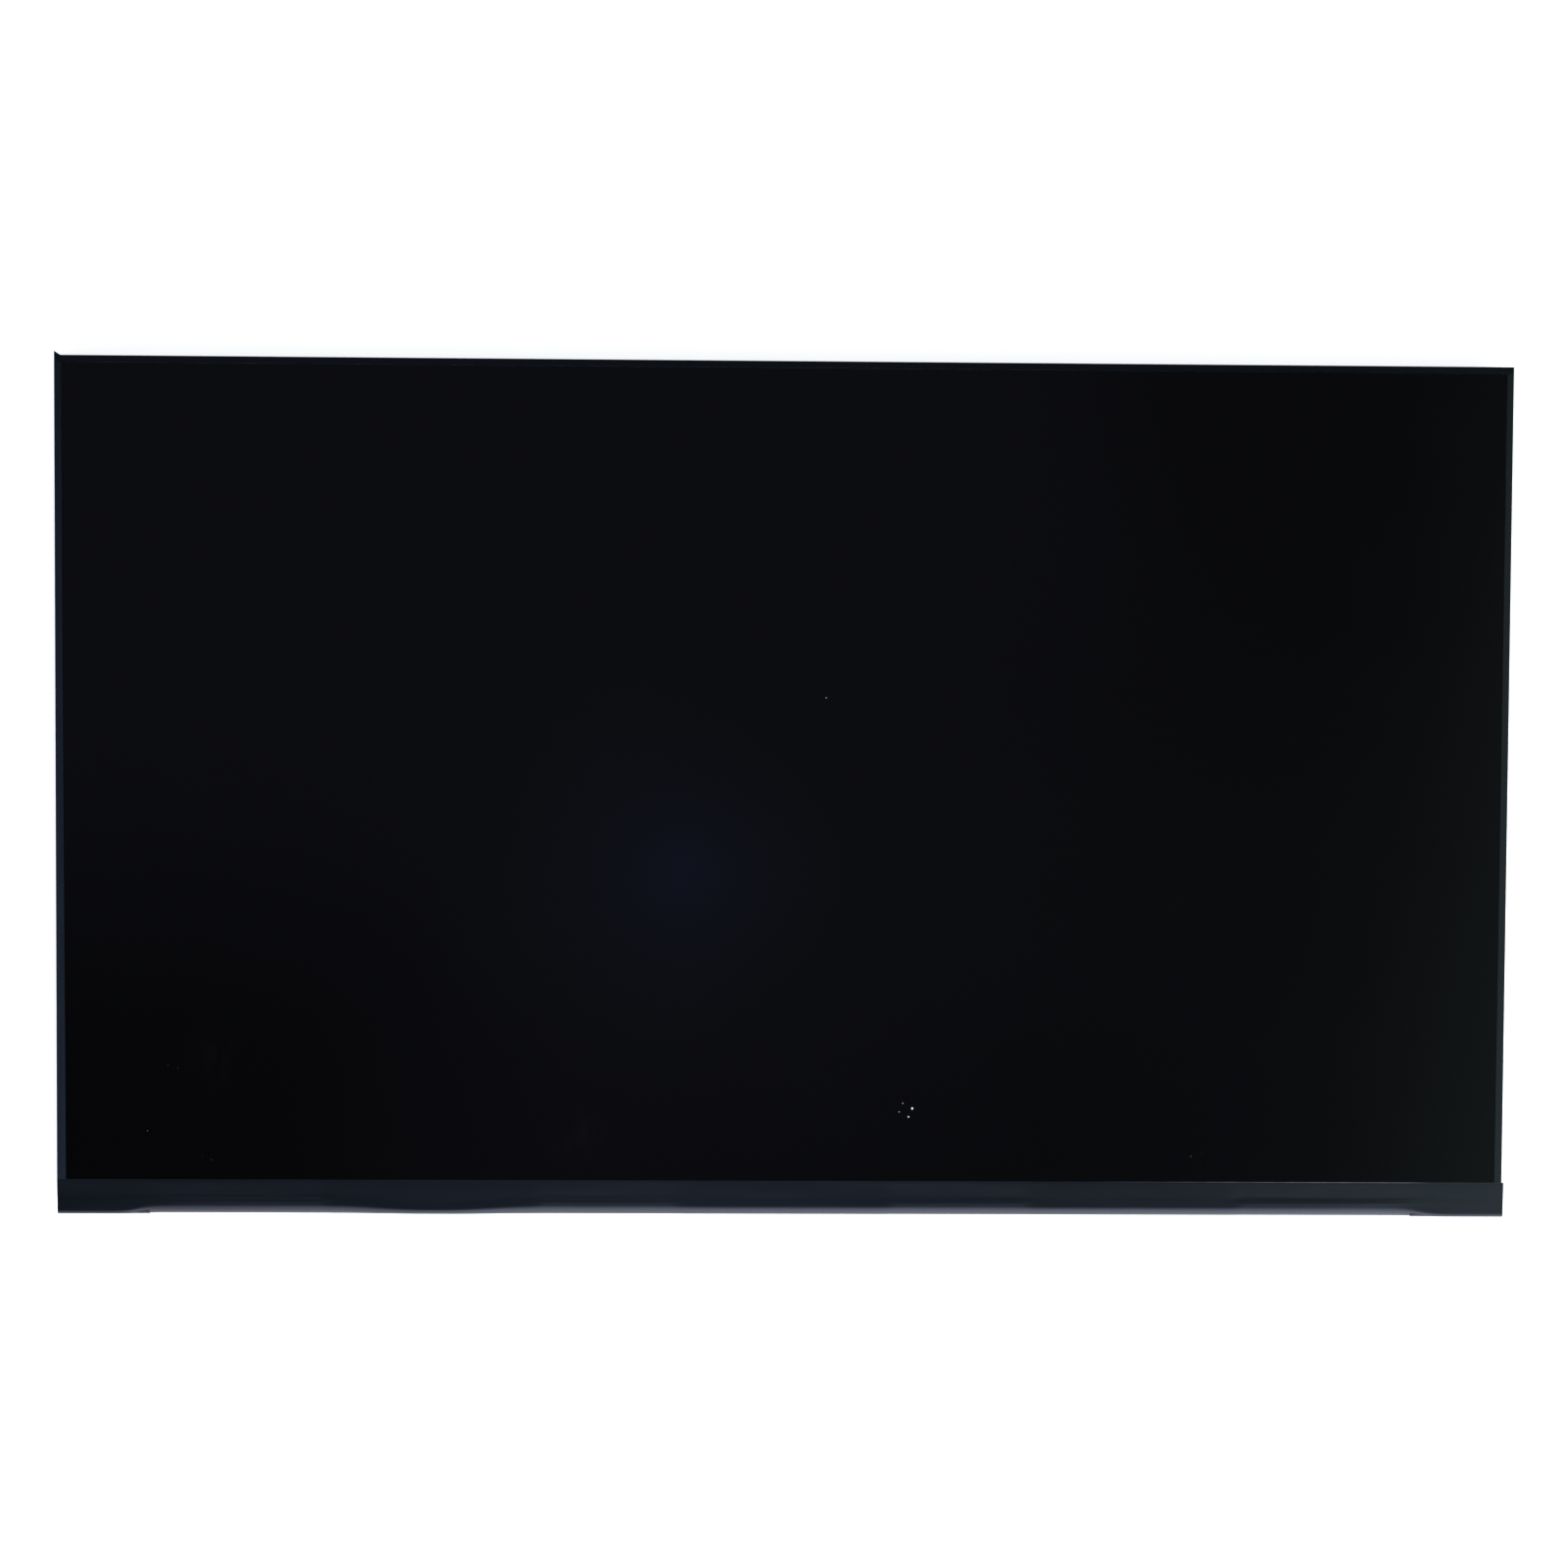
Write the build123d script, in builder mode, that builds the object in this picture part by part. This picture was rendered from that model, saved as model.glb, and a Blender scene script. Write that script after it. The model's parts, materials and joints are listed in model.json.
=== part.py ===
from build123d import *
import os
from math import copysign, cos, radians, sin, tan

# Fourteen-inch laptop screen panel: a bare display module, as it is taped into a laptop's lid.
# It lies on its back with the screen up. +X is to the right and +Y to the top edge of the picture,
# +Z points out of the screen, and the origin is under the middle of the outline, on the surface
# that the module lies on. All sizes are in millimetres.

os.makedirs("parts", exist_ok=True)

# Outline of the module, edge tapes included
panel_width = 315.8
panel_height = 186.1

# Thicknesses of the sheets and layers, from the back to the front
board_thickness = 0.6
board_adhesive_thickness = 0.1
tray_sheet = 0.3
field_depth = 0.2
reflector_thickness = 0.12
guide_thickness = 0.6
diffuser_thickness = 0.12
prism_thickness = 0.12
cell_tape_thickness = 0.06
polariser_thickness = 0.15
glass_thickness = 0.3
tape_thickness = 0.06
flex_thickness = 0.1

# Side and top section, from the outside in
frame_fit = 0.05
upstand = 0.9
glass_clearance = 0.1
polariser_setback = 0.1
ledge_width = 2.0
sheet_clearance = 0.2

# Bottom section, from the bottom edge up
bend_room = 2.45
bonding_ledge = 2.4
colour_border = 2.5
polariser_cover = 0.45
bar_setback = 1.25
bar_wall = 1.1
shelf_reach = 3.65

# Back cover
tray_bend = 0.45
corner_relief = 0.8
field_margin = 3.6
field_corner = 6.0
field_slope = 45.0
rib_length = 92.0
rib_width = 5.0
rib_pitch_x = 140.0
rib_pitch_y = 74.0

# Hooks of the moulded frame, in windows of the back cover's walls
hook_length = 6.0
hook_height = 0.5
hook_reach = 0.22
hook_clearance = 0.1
side_hooks = 3
side_hook_pitch = 60.0
top_hooks = 5
top_hook_pitch = 62.0

# Ears that keep the light guide and the sheets in place
ear_length = 6.0
ear_reach = 1.0
ear_pitch = 110.0

# Light strip
light_count = 36
light_width = 3.0
light_depth = 0.9
light_height = 0.55
light_gap = 0.1
light_back_gap = 0.2
light_window_width = 2.2
light_window_height = 0.33
light_window_depth = 0.15
tail_width = 10.0
tail_setback = 0.55
tail_radius = 0.8
tail_bond = 2.0
strip_end_gap = 1.5
shelf_clearance = 0.03

# Largest share of a fold's height that its bends may fill
bend_share = 0.96

# Driver films and their chips; the outer films' middles stand film_edge from the panel's sides
film_count = 4
film_edge = 43.0
film_width = 26.5
film_gap = 0.45
film_lift = 1.15
film_rise = 7.5
film_front_radius = 2.3
film_rear_radius = 0.6
film_bond = 2.4
driver_length = 19.0
driver_width = 1.5
driver_height = 0.4

# Edge tapes as the front shows them
left_tape_top = 1.35
left_tape_bottom = 1.9
left_tape_end = 0.85
right_tape_top = 1.4
right_tape_bottom = 1.6
top_tape_front = 1.35
tape_rear_leg = 2.7

# Bottom tape
bottom_tape_overhang = 0.43
tape_step = 0.35
tape_sag = 0.06
tape_fall = 0.2
tape_lay = 0.01
tape_cover = 1.0
tape_run_out = 3.0
tape_low_radius = 2.1
tape_end_radius = 0.9

# Source board
board_setback = 5.95
board_overlap = 4.0
board_corner = 0.6
jig_hole_radius = 0.75
jig_hole_setback = 3.0
zone_clearance = 0.4
component_zone = 8.2
board_margin = 0.5
adhesive_margin = 0.4
land_margin = 1.5

# Board components; their places are shares of the board's half length and of the component zone's half width
cap_pitch = 2.4
resistor_pitch = 1.7
coil_side = 4.0
coil_height = 1.0
coil_corner = 0.7
chip_chamfer = 0.12
cap_height = 0.7
cap_length = 1.6
cap_width = 0.8
resistor_height = 0.35
resistor_length = 1.0
resistor_width = 0.5
diode_height = 0.9
diode_length = 2.6
diode_width = 1.6
end_metal = 0.25
end_metal_step = 0.03

# Video connector; its middle stands connector_end from the board's left end
connector_end = 37.15
connector_width = 20.6
connector_depth = 4.4
connector_height = 1.05
shell_sheet = 0.15
shell_bend = 0.3
lance_count = 4
lance_pitch = 4.6
lance_length = 1.8
lance_width = 0.45
lance_setback = 1.1
latch_length = 0.7
latch_height = 0.4
shell_foot_length = 1.4
shell_foot_reach = 0.8
housing_back = 1.4
tongue_thickness = 0.35
tongue_standoff = 0.1
tongue_setback = 0.4
contact_count = 30
contact_pitch = 0.5
contact_width = 0.2
contact_thickness = 0.08
contact_foot = 0.7

# Outline, with the origin in its middle
right = panel_width / 2
top = panel_height / 2
bottom = -top

# Heights, from the surface that the module lies on
z_board_rear = max(connector_height, coil_height)
z_board_front = z_board_rear + board_thickness
z_rim = z_board_front + board_adhesive_thickness
z_field = z_rim - field_depth
z_floor = z_rim + tray_sheet
z_guide = z_floor + reflector_thickness
z_diffuser = z_guide + guide_thickness
z_lower_prism = z_diffuser + diffuser_thickness
z_upper_prism = z_lower_prism + prism_thickness
z_ledge = z_upper_prism + prism_thickness
z_rear_polariser = z_ledge + cell_tape_thickness
z_array_glass = z_rear_polariser + polariser_thickness
z_colour_glass = z_array_glass + glass_thickness
z_front_polariser = z_colour_glass + glass_thickness
z_front = z_front_polariser + polariser_thickness
z_shelf = z_diffuser + flex_thickness + shelf_clearance

# How far each layer stays inside the left, right and top edges
frame_inset = tape_thickness + tray_sheet + frame_fit
glass_inset = frame_inset + upstand + glass_clearance
polariser_inset = glass_inset + polariser_setback
ledge_inset = frame_inset + upstand + ledge_width
sheet_inset = ledge_inset + sheet_clearance

# Lower ends of the layers, from the bottom edge up
bar_bottom = bottom + bar_setback
bar_inside = bar_bottom + bar_wall
array_bottom = bottom + bend_room
colour_bottom = array_bottom + bonding_ledge
polariser_bottom = colour_bottom + colour_border
tape_top = polariser_bottom + polariser_cover
guide_bottom = bar_inside + light_back_gap + light_depth + light_gap
shelf_edge = bar_inside + shelf_reach
sheet_bottom = shelf_edge + sheet_clearance

# The source board's edges, on the back
board_bottom = bottom + board_setback
film_end = board_bottom + film_bond
tape_rear_end = film_end + tape_cover
zone_bottom = tape_rear_end + zone_clearance
zone_middle = zone_bottom + component_zone / 2
board_top = zone_bottom + component_zone + board_margin
film_pitch = 2 * (right - film_edge) / (film_count - 1)
film_places = [film_pitch * (number - (film_count - 1) / 2) for number in range(film_count)]
board_x = film_places[-1] + film_width / 2 + board_overlap


def save(piece, label):
    """Name a finished piece and write it."""
    piece.part.label = label
    export_step(piece.part, f"parts/{label}.step")


def outline(inset, low, mode=Mode.ADD):
    """A rectangle that stays inset from the left, right and top edges and ends below at low."""
    high = top - inset
    with Locations((0, (low + high) / 2)):
        Rectangle(2 * (right - inset), high - low, mode=mode)


def box_outline(x_low, x_high, y_low, y_high, mode=Mode.ADD):
    """A rectangle between four sides."""
    with Locations(((x_low + x_high) / 2, (y_low + y_high) / 2)):
        Rectangle(x_high - x_low, y_high - y_low, mode=mode)


def flat_layer(label, inset, low, z, thickness, eared=False):
    """One flat layer of the stack, with ears at its two sides if it is a loose sheet."""
    with BuildPart() as layer:
        with BuildSketch(Plane.XY.offset(z)):
            outline(inset, low)
            if eared:
                with GridLocations(2 * (right - inset), ear_pitch, 2, 2):
                    Rectangle(2 * ear_reach, ear_length)
        extrude(amount=thickness)
    save(layer, label)


def strip_side(corners, radii, shift):
    """One side of a bent strip: its middle line's corners and bends, moved shift to the left."""
    runs = [(Vector(*b) - Vector(*a)).normalized() for a, b in zip(corners, corners[1:])]
    sides = [Vector(-run.Y, run.X) for run in runs]
    points = [Vector(*corners[0]) + sides[0] * shift]
    bends = []
    for corner, radius, before, after in zip(corners[1:-1], radii, sides, sides[1:]):
        points.append(Vector(*corner) + (before + after) * (shift / (1 + before.dot(after))))
        turn = copysign(shift, before.cross(after).Z * shift)
        bends.append(max(radius - turn, 0) if radius else 0)
    points.append(Vector(*corners[-1]) + sides[-1] * shift)
    return FilletPolyline(*points, radius=bends)


def strip_face(corners, radii, thickness):
    """The side view of a bent strip of even thickness along a middle line."""
    with BuildLine() as edge:
        one = strip_side(corners, radii, thickness / 2)
        other = strip_side(corners, radii, -thickness / 2)
        Line(one @ 0, other @ 0)
        Line(one @ 1, other @ 1)
    make_face(edge.edges())


# Optical stack, from the back to the front
flat_layer("reflector_sheet", sheet_inset, guide_bottom, z_floor, reflector_thickness)
flat_layer("light_guide_plate", sheet_inset, guide_bottom, z_guide, guide_thickness, eared=True)
flat_layer("diffuser_sheet", sheet_inset, sheet_bottom, z_diffuser, diffuser_thickness, eared=True)
flat_layer("lower_prism_sheet", sheet_inset, sheet_bottom, z_lower_prism, prism_thickness, eared=True)
flat_layer("upper_prism_sheet", sheet_inset, sheet_bottom, z_upper_prism, prism_thickness, eared=True)

# Liquid-crystal cell: two glasses between two polarisers
rear_polariser_bottom = array_bottom + polariser_cover
flat_layer("rear_polariser", polariser_inset, rear_polariser_bottom, z_rear_polariser, polariser_thickness)
flat_layer("array_glass", glass_inset, array_bottom, z_array_glass, glass_thickness)
flat_layer("colour_filter_glass", glass_inset, colour_bottom, z_colour_glass, glass_thickness)
flat_layer("front_polariser", polariser_inset, polariser_bottom, z_front_polariser, polariser_thickness)

# Cell tape, which holds the cell on the moulded frame's ledge
with BuildPart() as cell_tape:
    with BuildSketch(Plane.XY.offset(z_ledge)):
        outline(glass_inset + polariser_setback, rear_polariser_bottom)
        outline(ledge_inset, shelf_edge, mode=Mode.SUBTRACT)
    extrude(amount=cell_tape_thickness)
save(cell_tape, "cell_tape")

# Light strip: a flexible board over the lamps, with a tail that folds back to the source board
strip_bottom = bar_inside
strip_top = shelf_edge - sheet_clearance
strip_x = right - sheet_inset - strip_end_gap
strip_middle = z_diffuser + flex_thickness / 2
flex_rear_middle = z_board_rear - flex_thickness / 2
tail_out = bottom + tail_setback
tail_place = film_pitch / 2 * (film_count % 2)
tail_corners = [
    (strip_top, strip_middle),
    (tail_out, strip_middle),
    (tail_out, flex_rear_middle),
    (board_bottom + tail_bond, flex_rear_middle),
]
tail_bend = min(tail_radius, bend_share * (strip_middle - flex_rear_middle) / 2)
with BuildPart() as light_strip:
    with BuildSketch(Plane.XY.offset(z_diffuser)):
        box_outline(-strip_x, strip_x, strip_bottom, strip_top)
    extrude(amount=flex_thickness)
    with BuildSketch(Plane.YZ.offset(tail_place)):
        strip_face(tail_corners, [tail_bend, tail_bend], flex_thickness)
    extrude(amount=tail_width / 2, both=True)
save(light_strip, "light_strip")

# Lamps under the strip, each with its window towards the light guide
light_pitch = 2 * strip_x / light_count
light_face = guide_bottom - light_gap
window_middle = z_diffuser - light_height / 2
with BuildPart() as light_packages:
    with BuildSketch(Plane.XY.offset(z_diffuser)):
        with Locations((0, light_face - light_depth / 2)):
            with GridLocations(light_pitch, 0, light_count, 1):
                Rectangle(light_width, light_depth)
    extrude(amount=-light_height)
    with BuildSketch(Plane.XZ.offset(-light_face)):
        with Locations((0, window_middle)):
            with GridLocations(light_pitch, 0, light_count, 1):
                Rectangle(light_window_width, light_window_height)
    extrude(amount=light_window_depth, mode=Mode.SUBTRACT)
save(light_packages, "light_packages")

# Middle line of a driver film: off the glass ledge, round the bottom edge and on to the board
film_front_middle = z_colour_glass + flex_thickness / 2
film_out = bottom + tape_thickness + tape_lay + flex_thickness / 2
film_lift_place = array_bottom + film_lift
rise = radians(film_rise)
film_crest = film_front_middle + (film_lift_place - film_out) * tan(rise)
front_turn = tan(radians(90 + film_rise) / 2)
fold_height = film_crest - flex_rear_middle
fold_share = min(1, bend_share * fold_height / (film_front_radius * front_turn + film_rear_radius))
front_bend = film_front_radius * fold_share
rear_bend = film_rear_radius * fold_share
film_corners = [
    (colour_bottom - film_gap, film_front_middle),
    (film_lift_place, film_front_middle),
    (film_out, film_crest),
    (film_out, flex_rear_middle),
    (film_end, flex_rear_middle),
]
driver_middle = (bottom + tape_thickness + flex_thickness + rear_bend + board_bottom) / 2

for number, place in enumerate(film_places, start=1):
    with BuildPart() as driver_film:
        with BuildSketch(Plane.YZ.offset(place)):
            strip_face(film_corners, [film_front_radius, front_bend, rear_bend], flex_thickness)
        extrude(amount=film_width / 2, both=True)
    save(driver_film, f"driver_film_{number}")

    with BuildPart() as driver_chip:
        with BuildSketch(Plane.XY.offset(z_board_rear)):
            with Locations((place, driver_middle)):
                Rectangle(driver_length, driver_width)
        extrude(amount=driver_height)
    save(driver_chip, f"driver_chip_{number}")

# Middle lines of the bottom tape: over a film, between films, and at its two ends
half_tape = tape_thickness / 2
tape_out = bottom + half_tape
tape_shift = (flex_thickness + tape_thickness) / 2 + tape_lay
valley = (film_lift_place + tape_shift * sin(rise), film_front_middle + tape_shift * cos(rise))
crest = (tape_out, valley[1] + (valley[0] - tape_out) * tan(rise))
tape_rear_middle = flex_rear_middle - tape_shift
colour_middle = z_front_polariser + half_tape
front_run = [
    (tape_top, z_front + half_tape),
    (polariser_bottom, z_front + half_tape),
    (polariser_bottom - tape_step, colour_middle),
    (colour_bottom - tape_step, colour_middle),
]
sagged = colour_middle - tape_sag
low_corner = sagged - tape_fall
low_run = [(film_lift_place, sagged), (tape_out, low_corner)]
rear_run = [(tape_out, tape_rear_middle), (tape_rear_end, tape_rear_middle)]
end_rear = z_rim - half_tape
end_run = [(tape_out, end_rear), (tape_rear_end, end_rear)]

tape_front_bend = front_bend + tape_shift
tape_rear_bend = rear_bend + tape_shift
low_share = min(1, bend_share * (low_corner - tape_rear_middle) / (tape_low_radius + tape_rear_bend))
low_bend = tape_low_radius * low_share
end_bend = min(tape_end_radius, bend_share * (low_corner - end_rear) / 2)
tape_lines = {
    "film": (front_run + [valley, crest] + rear_run, tape_front_bend, tape_rear_bend),
    "low": (front_run + low_run + rear_run, low_bend, tape_rear_bend * low_share),
    "end": (front_run + low_run + end_run, end_bend, end_bend),
}

# Where along the bottom edge the tape has which of these lines
film_half = film_width / 2
low_half = film_half + tape_run_out
tape_stations = [(-right, "end"), (-board_x - 2 * tape_run_out, "end"), (-board_x, "low")]
for place in film_places:
    tape_stations.append((place - low_half, "low"))
    tape_stations.append((place - film_half, "film"))
    tape_stations.append((place + film_half, "film"))
    tape_stations.append((place + low_half, "low"))
tape_stations += [(board_x, "low"), (board_x + 2 * tape_run_out, "end")]
tape_stations.append((right + bottom_tape_overhang, "end"))

with BuildPart() as bottom_tape:
    for place, kind in tape_stations:
        corners, front_radius, rear_radius = tape_lines[kind]
        with BuildSketch(Plane.YZ.offset(place)):
            strip_face(corners, [0, 0, 0, 0, front_radius, rear_radius], tape_thickness)
    loft(ruled=True)
save(bottom_tape, "bottom_tape")

# Guard lands of the moulded frame, which carry the tape between the films and leave the tail free
tail_half = tail_width / 2 + tail_setback
low_edges = [-board_x] + [place + side * low_half for place in film_places for side in (-1, 1)] + [board_x]
land_spans = []
for low, high in zip(low_edges[::2], low_edges[1::2]):
    if low < tail_place < high:
        land_spans += [(low, tail_place - tail_half, "low"), (tail_place + tail_half, high, "low")]
    else:
        land_spans.append((low, high, "low"))
end_reach = board_x + 2 * tape_run_out
land_spans += [(-right + frame_inset, -end_reach, "end"), (end_reach, right - frame_inset, "end")]

with BuildPart() as moulded_frame:
    with BuildSketch(Plane.XY.offset(z_floor)):
        outline(frame_inset, bar_bottom)
        outline(ledge_inset, bar_inside, mode=Mode.SUBTRACT)
    extrude(amount=z_shelf - z_floor)
    with BuildSketch(Plane.XY.offset(z_shelf)):
        outline(frame_inset, bar_bottom)
        outline(ledge_inset, shelf_edge, mode=Mode.SUBTRACT)
    extrude(amount=z_ledge - z_shelf)
    # Upstand beside the glass, open along the bottom edge and lower beside the bottom tape
    with BuildSketch(Plane.XY.offset(z_ledge)):
        outline(frame_inset, bar_bottom)
        outline(frame_inset + upstand, bar_bottom, mode=Mode.SUBTRACT)
    extrude(amount=z_front - z_ledge)
    with BuildSketch(Plane.XY.offset(z_colour_glass)):
        box_outline(-right, right, bottom, polariser_bottom)
    extrude(amount=z_front - z_colour_glass, mode=Mode.SUBTRACT)
    # Guard lands
    for low, high, kind in land_spans:
        corners, front_radius, rear_radius = tape_lines[kind]
        with BuildSketch(Plane.YZ.offset(low)):
            with BuildLine():
                skin = strip_side(corners[4:], [front_radius, rear_radius], half_tape + tape_lay)
                Line(skin @ 0, skin @ 1)
            make_face()
            box_outline(bottom, bar_bottom, z_rim, z_colour_glass, mode=Mode.INTERSECT)
        extrude(amount=high - low)
    # Notches for the sheets' ears
    with BuildSketch(Plane.XY.offset(z_floor)):
        with GridLocations(2 * (right - ledge_inset), ear_pitch, 2, 2):
            Rectangle(2 * ear_reach, ear_length + 2 * sheet_clearance)
    extrude(amount=z_ledge - z_floor, mode=Mode.SUBTRACT)
    # Slot for the light strip's tail
    with BuildSketch(Plane.XZ.offset(-bar_inside)):
        box_outline(tail_place - tail_half, tail_place + tail_half, z_diffuser - shelf_clearance, z_shelf)
    extrude(amount=bar_wall, mode=Mode.SUBTRACT)
    # Hooks for the back cover's windows
    hook_middle = (z_floor + z_ledge) / 2
    for side in (-1, 1):
        with BuildSketch(Plane.YZ.offset(side * (right - frame_inset))):
            with Locations((0, hook_middle)):
                with GridLocations(side_hook_pitch, 0, side_hooks, 1):
                    Rectangle(hook_length, hook_height)
        extrude(amount=side * hook_reach)
    with BuildSketch(Plane.XZ.offset(frame_inset - top)):
        with Locations((0, hook_middle)):
            with GridLocations(top_hook_pitch, 0, top_hooks, 1):
                Rectangle(hook_length, hook_height)
    extrude(amount=-hook_reach)
save(moulded_frame, "moulded_frame")

# Back cover: a folded tray with a stamped field and ribs
field_bottom = board_top + land_margin
field_top = top - field_margin
field_x = right - field_margin
field_middle = (field_bottom + field_top) / 2
field_height = field_top - field_bottom
slope_inside = tray_sheet * tan(radians(field_slope) / 2)
window_length = hook_length + 2 * hook_clearance
window_height = hook_height + 2 * hook_clearance
with BuildPart() as back_cover:
    with BuildSketch(Plane.XY.offset(z_rim)):
        outline(tape_thickness, bar_bottom)
    extrude(amount=z_front - z_rim)
    rear_edges = back_cover.edges().group_by(Axis.Z)[0]
    fillet(rear_edges.sort_by(Axis.Y)[1:], tray_bend)
    with BuildSketch(Plane.XY.offset(z_floor)):
        outline(tape_thickness + tray_sheet, bar_bottom)
    extrude(amount=z_front - z_floor, mode=Mode.SUBTRACT)
    # Walls step down beside the bottom tape
    with BuildSketch(Plane.XY.offset(z_colour_glass)):
        box_outline(-right, right, bottom, polariser_bottom)
    extrude(amount=z_front - z_colour_glass, mode=Mode.SUBTRACT)
    # Open corners between the folded walls
    with BuildSketch(Plane.XY.offset(z_rim)):
        for side in (-1, 1):
            with Locations((side * (right - tape_thickness), top - tape_thickness)):
                Rectangle(2 * corner_relief, 2 * corner_relief)
    extrude(amount=z_front - z_rim, mode=Mode.SUBTRACT)
    # Field stamped out towards the back
    with BuildSketch(Plane.XY.offset(z_rim)):
        with Locations((0, field_middle)):
            RectangleRounded(2 * field_x, field_height, field_corner)
    extrude(amount=-field_depth, taper=field_slope)
    with BuildSketch(Plane.XY.offset(z_floor)):
        with Locations((0, field_middle)):
            RectangleRounded(
                2 * (field_x - slope_inside), field_height - 2 * slope_inside, field_corner - slope_inside
            )
    extrude(amount=-field_depth, taper=field_slope, mode=Mode.SUBTRACT)
    # Ribs pressed back in, which carry the reflector
    with BuildSketch(Plane.XY.offset(z_floor - field_depth)):
        with Locations((0, field_middle)):
            with GridLocations(rib_pitch_x, rib_pitch_y, 2, 2):
                SlotOverall(rib_length + 2 * tray_sheet, rib_width + 2 * tray_sheet)
    extrude(amount=field_depth)
    with BuildSketch(Plane.XY.offset(z_field)):
        with Locations((0, field_middle)):
            with GridLocations(rib_pitch_x, rib_pitch_y, 2, 2):
                SlotOverall(rib_length, rib_width)
    extrude(amount=field_depth, mode=Mode.SUBTRACT)
    # Windows for the frame's hooks
    for side in (-1, 1):
        with BuildSketch(Plane.YZ.offset(side * (right - tape_thickness))):
            with Locations((0, hook_middle)):
                with GridLocations(side_hook_pitch, 0, side_hooks, 1):
                    Rectangle(window_length, window_height)
        extrude(amount=-side * tray_sheet, mode=Mode.SUBTRACT)
    with BuildSketch(Plane.XZ.offset(tape_thickness - top)):
        with Locations((0, hook_middle)):
            with GridLocations(top_hook_pitch, 0, top_hooks, 1):
                Rectangle(window_length, window_height)
    extrude(amount=tray_sheet, mode=Mode.SUBTRACT)
save(back_cover, "back_cover")


def side_tape(label, side, width_top, width_bottom, end):
    """A tape folded over one side: front leg, wall leg and rear leg."""
    front = [
        (side * right, tape_top),
        (side * (right - width_bottom), tape_top),
        (side * (right - width_top), top),
        (side * right, top + end),
    ]
    wall = side * (right - half_tape)
    wall_corners = [
        (wall, z_front + tape_thickness),
        (wall, z_rim - half_tape),
        (side * (right - tape_rear_leg), z_rim - half_tape),
    ]
    rear_low = tape_rear_end + zone_clearance
    with BuildPart() as tape:
        with BuildSketch(Plane.XY.offset(z_front)):
            with BuildLine():
                Polyline(*front, close=True)
            make_face()
        extrude(amount=tape_thickness)
        with BuildSketch(Plane.XZ.offset(-top)):
            strip_face(wall_corners, [tray_bend + half_tape], tape_thickness)
        extrude(amount=top - rear_low)
        # Below the rear leg only the wall leg goes on, lower beside the bottom tape
        wall_low = z_rim + tray_bend
        with BuildSketch(Plane.YZ.offset(side * (right - tape_thickness))):
            box_outline(tape_top, rear_low, wall_low, z_front)
            box_outline(bar_bottom, tape_top, wall_low, z_colour_glass)
        extrude(amount=side * tape_thickness)
    save(tape, label)


# Edge tapes
side_tape("left_edge_tape", -1, left_tape_top, left_tape_bottom, left_tape_end)
side_tape("right_edge_tape", 1, right_tape_top, right_tape_bottom, 0)
top_wall = top - half_tape
top_corners = [
    (top - top_tape_front, z_front + half_tape),
    (top_wall, z_front + half_tape),
    (top_wall, z_rim - half_tape),
    (top - tape_rear_leg, z_rim - half_tape),
]
top_left = -right + left_tape_top
top_right = right - right_tape_top
with BuildPart() as top_edge_tape:
    with BuildSketch(Plane.YZ.offset(top_left)):
        strip_face(top_corners, [0, tray_bend + half_tape], tape_thickness)
    extrude(amount=top_right - top_left)
    # The side tapes' rear legs take the corners
    with BuildSketch(Plane.XY.offset(z_rim)):
        for side in (-1, 1):
            box_outline(*sorted((side * right, side * (right - tape_rear_leg))), bottom, top)
    extrude(amount=-tape_thickness, mode=Mode.SUBTRACT)
save(top_edge_tape, "top_edge_tape")

# Source board and its adhesive
with BuildPart() as source_board:
    with BuildSketch(Plane.XY.offset(z_board_rear)) as board_sketch:
        box_outline(-board_x, board_x, board_bottom, board_top)
        fillet(board_sketch.vertices(), board_corner)
        with Locations((0, zone_middle)):
            with GridLocations(2 * (board_x - jig_hole_setback), 0, 2, 1):
                Circle(jig_hole_radius, mode=Mode.SUBTRACT)
    extrude(amount=board_thickness)
save(source_board, "source_board")

with BuildPart() as board_adhesive:
    with BuildSketch(Plane.XY.offset(z_board_front)):
        box_outline(
            adhesive_margin - board_x,
            board_x - adhesive_margin,
            board_bottom + adhesive_margin,
            board_top - adhesive_margin,
        )
    extrude(amount=board_adhesive_thickness)
save(board_adhesive, "board_adhesive")


def board_place(along, across):
    """A place on the board, from its shares along the board and across the component zone."""
    return along * board_x, zone_middle + across * component_zone / 2


# Chips on the board's outer face: place along and across the board, width, depth and height
chips = {
    "timing_chip": (-0.462, 0.0, 7.0, 7.0, 0.85),
    "memory_chip": (-0.39, 0.39, 3.0, 2.0, 0.55),
    "power_chip": (-0.25, 0.0, 5.0, 5.0, 0.8),
    "buffer_chip": (-0.049, 0.2, 3.0, 3.0, 0.75),
    "level_chip": (0.129, 0.0, 5.0, 5.0, 0.8),
    "backlight_chip": (0.439, 0.0, 4.0, 4.0, 0.8),
}
for label, (along, across, width, depth, height) in chips.items():
    with BuildPart() as chip:
        with BuildSketch(Plane.XY.offset(z_board_rear)):
            with Locations(board_place(along, across)):
                Rectangle(width, depth)
        extrude(amount=-height)
        chamfer(chip.edges().group_by(Axis.Z)[0], chip_chamfer)
    save(chip, label)

# Coils of the voltage converters
coil_places = [board_place(along, 0) for along in (-0.193, -0.147, 0.496)]
with BuildPart() as converter_coils:
    with BuildSketch(Plane.XY.offset(z_board_rear)) as coil_sketch:
        with Locations(*coil_places):
            Rectangle(coil_side, coil_side)
        chamfer(coil_sketch.vertices(), coil_corner)
    extrude(amount=-coil_height)
    chamfer(converter_coils.edges().group_by(Axis.Z)[0], chip_chamfer)
save(converter_coils, "converter_coils")


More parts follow.
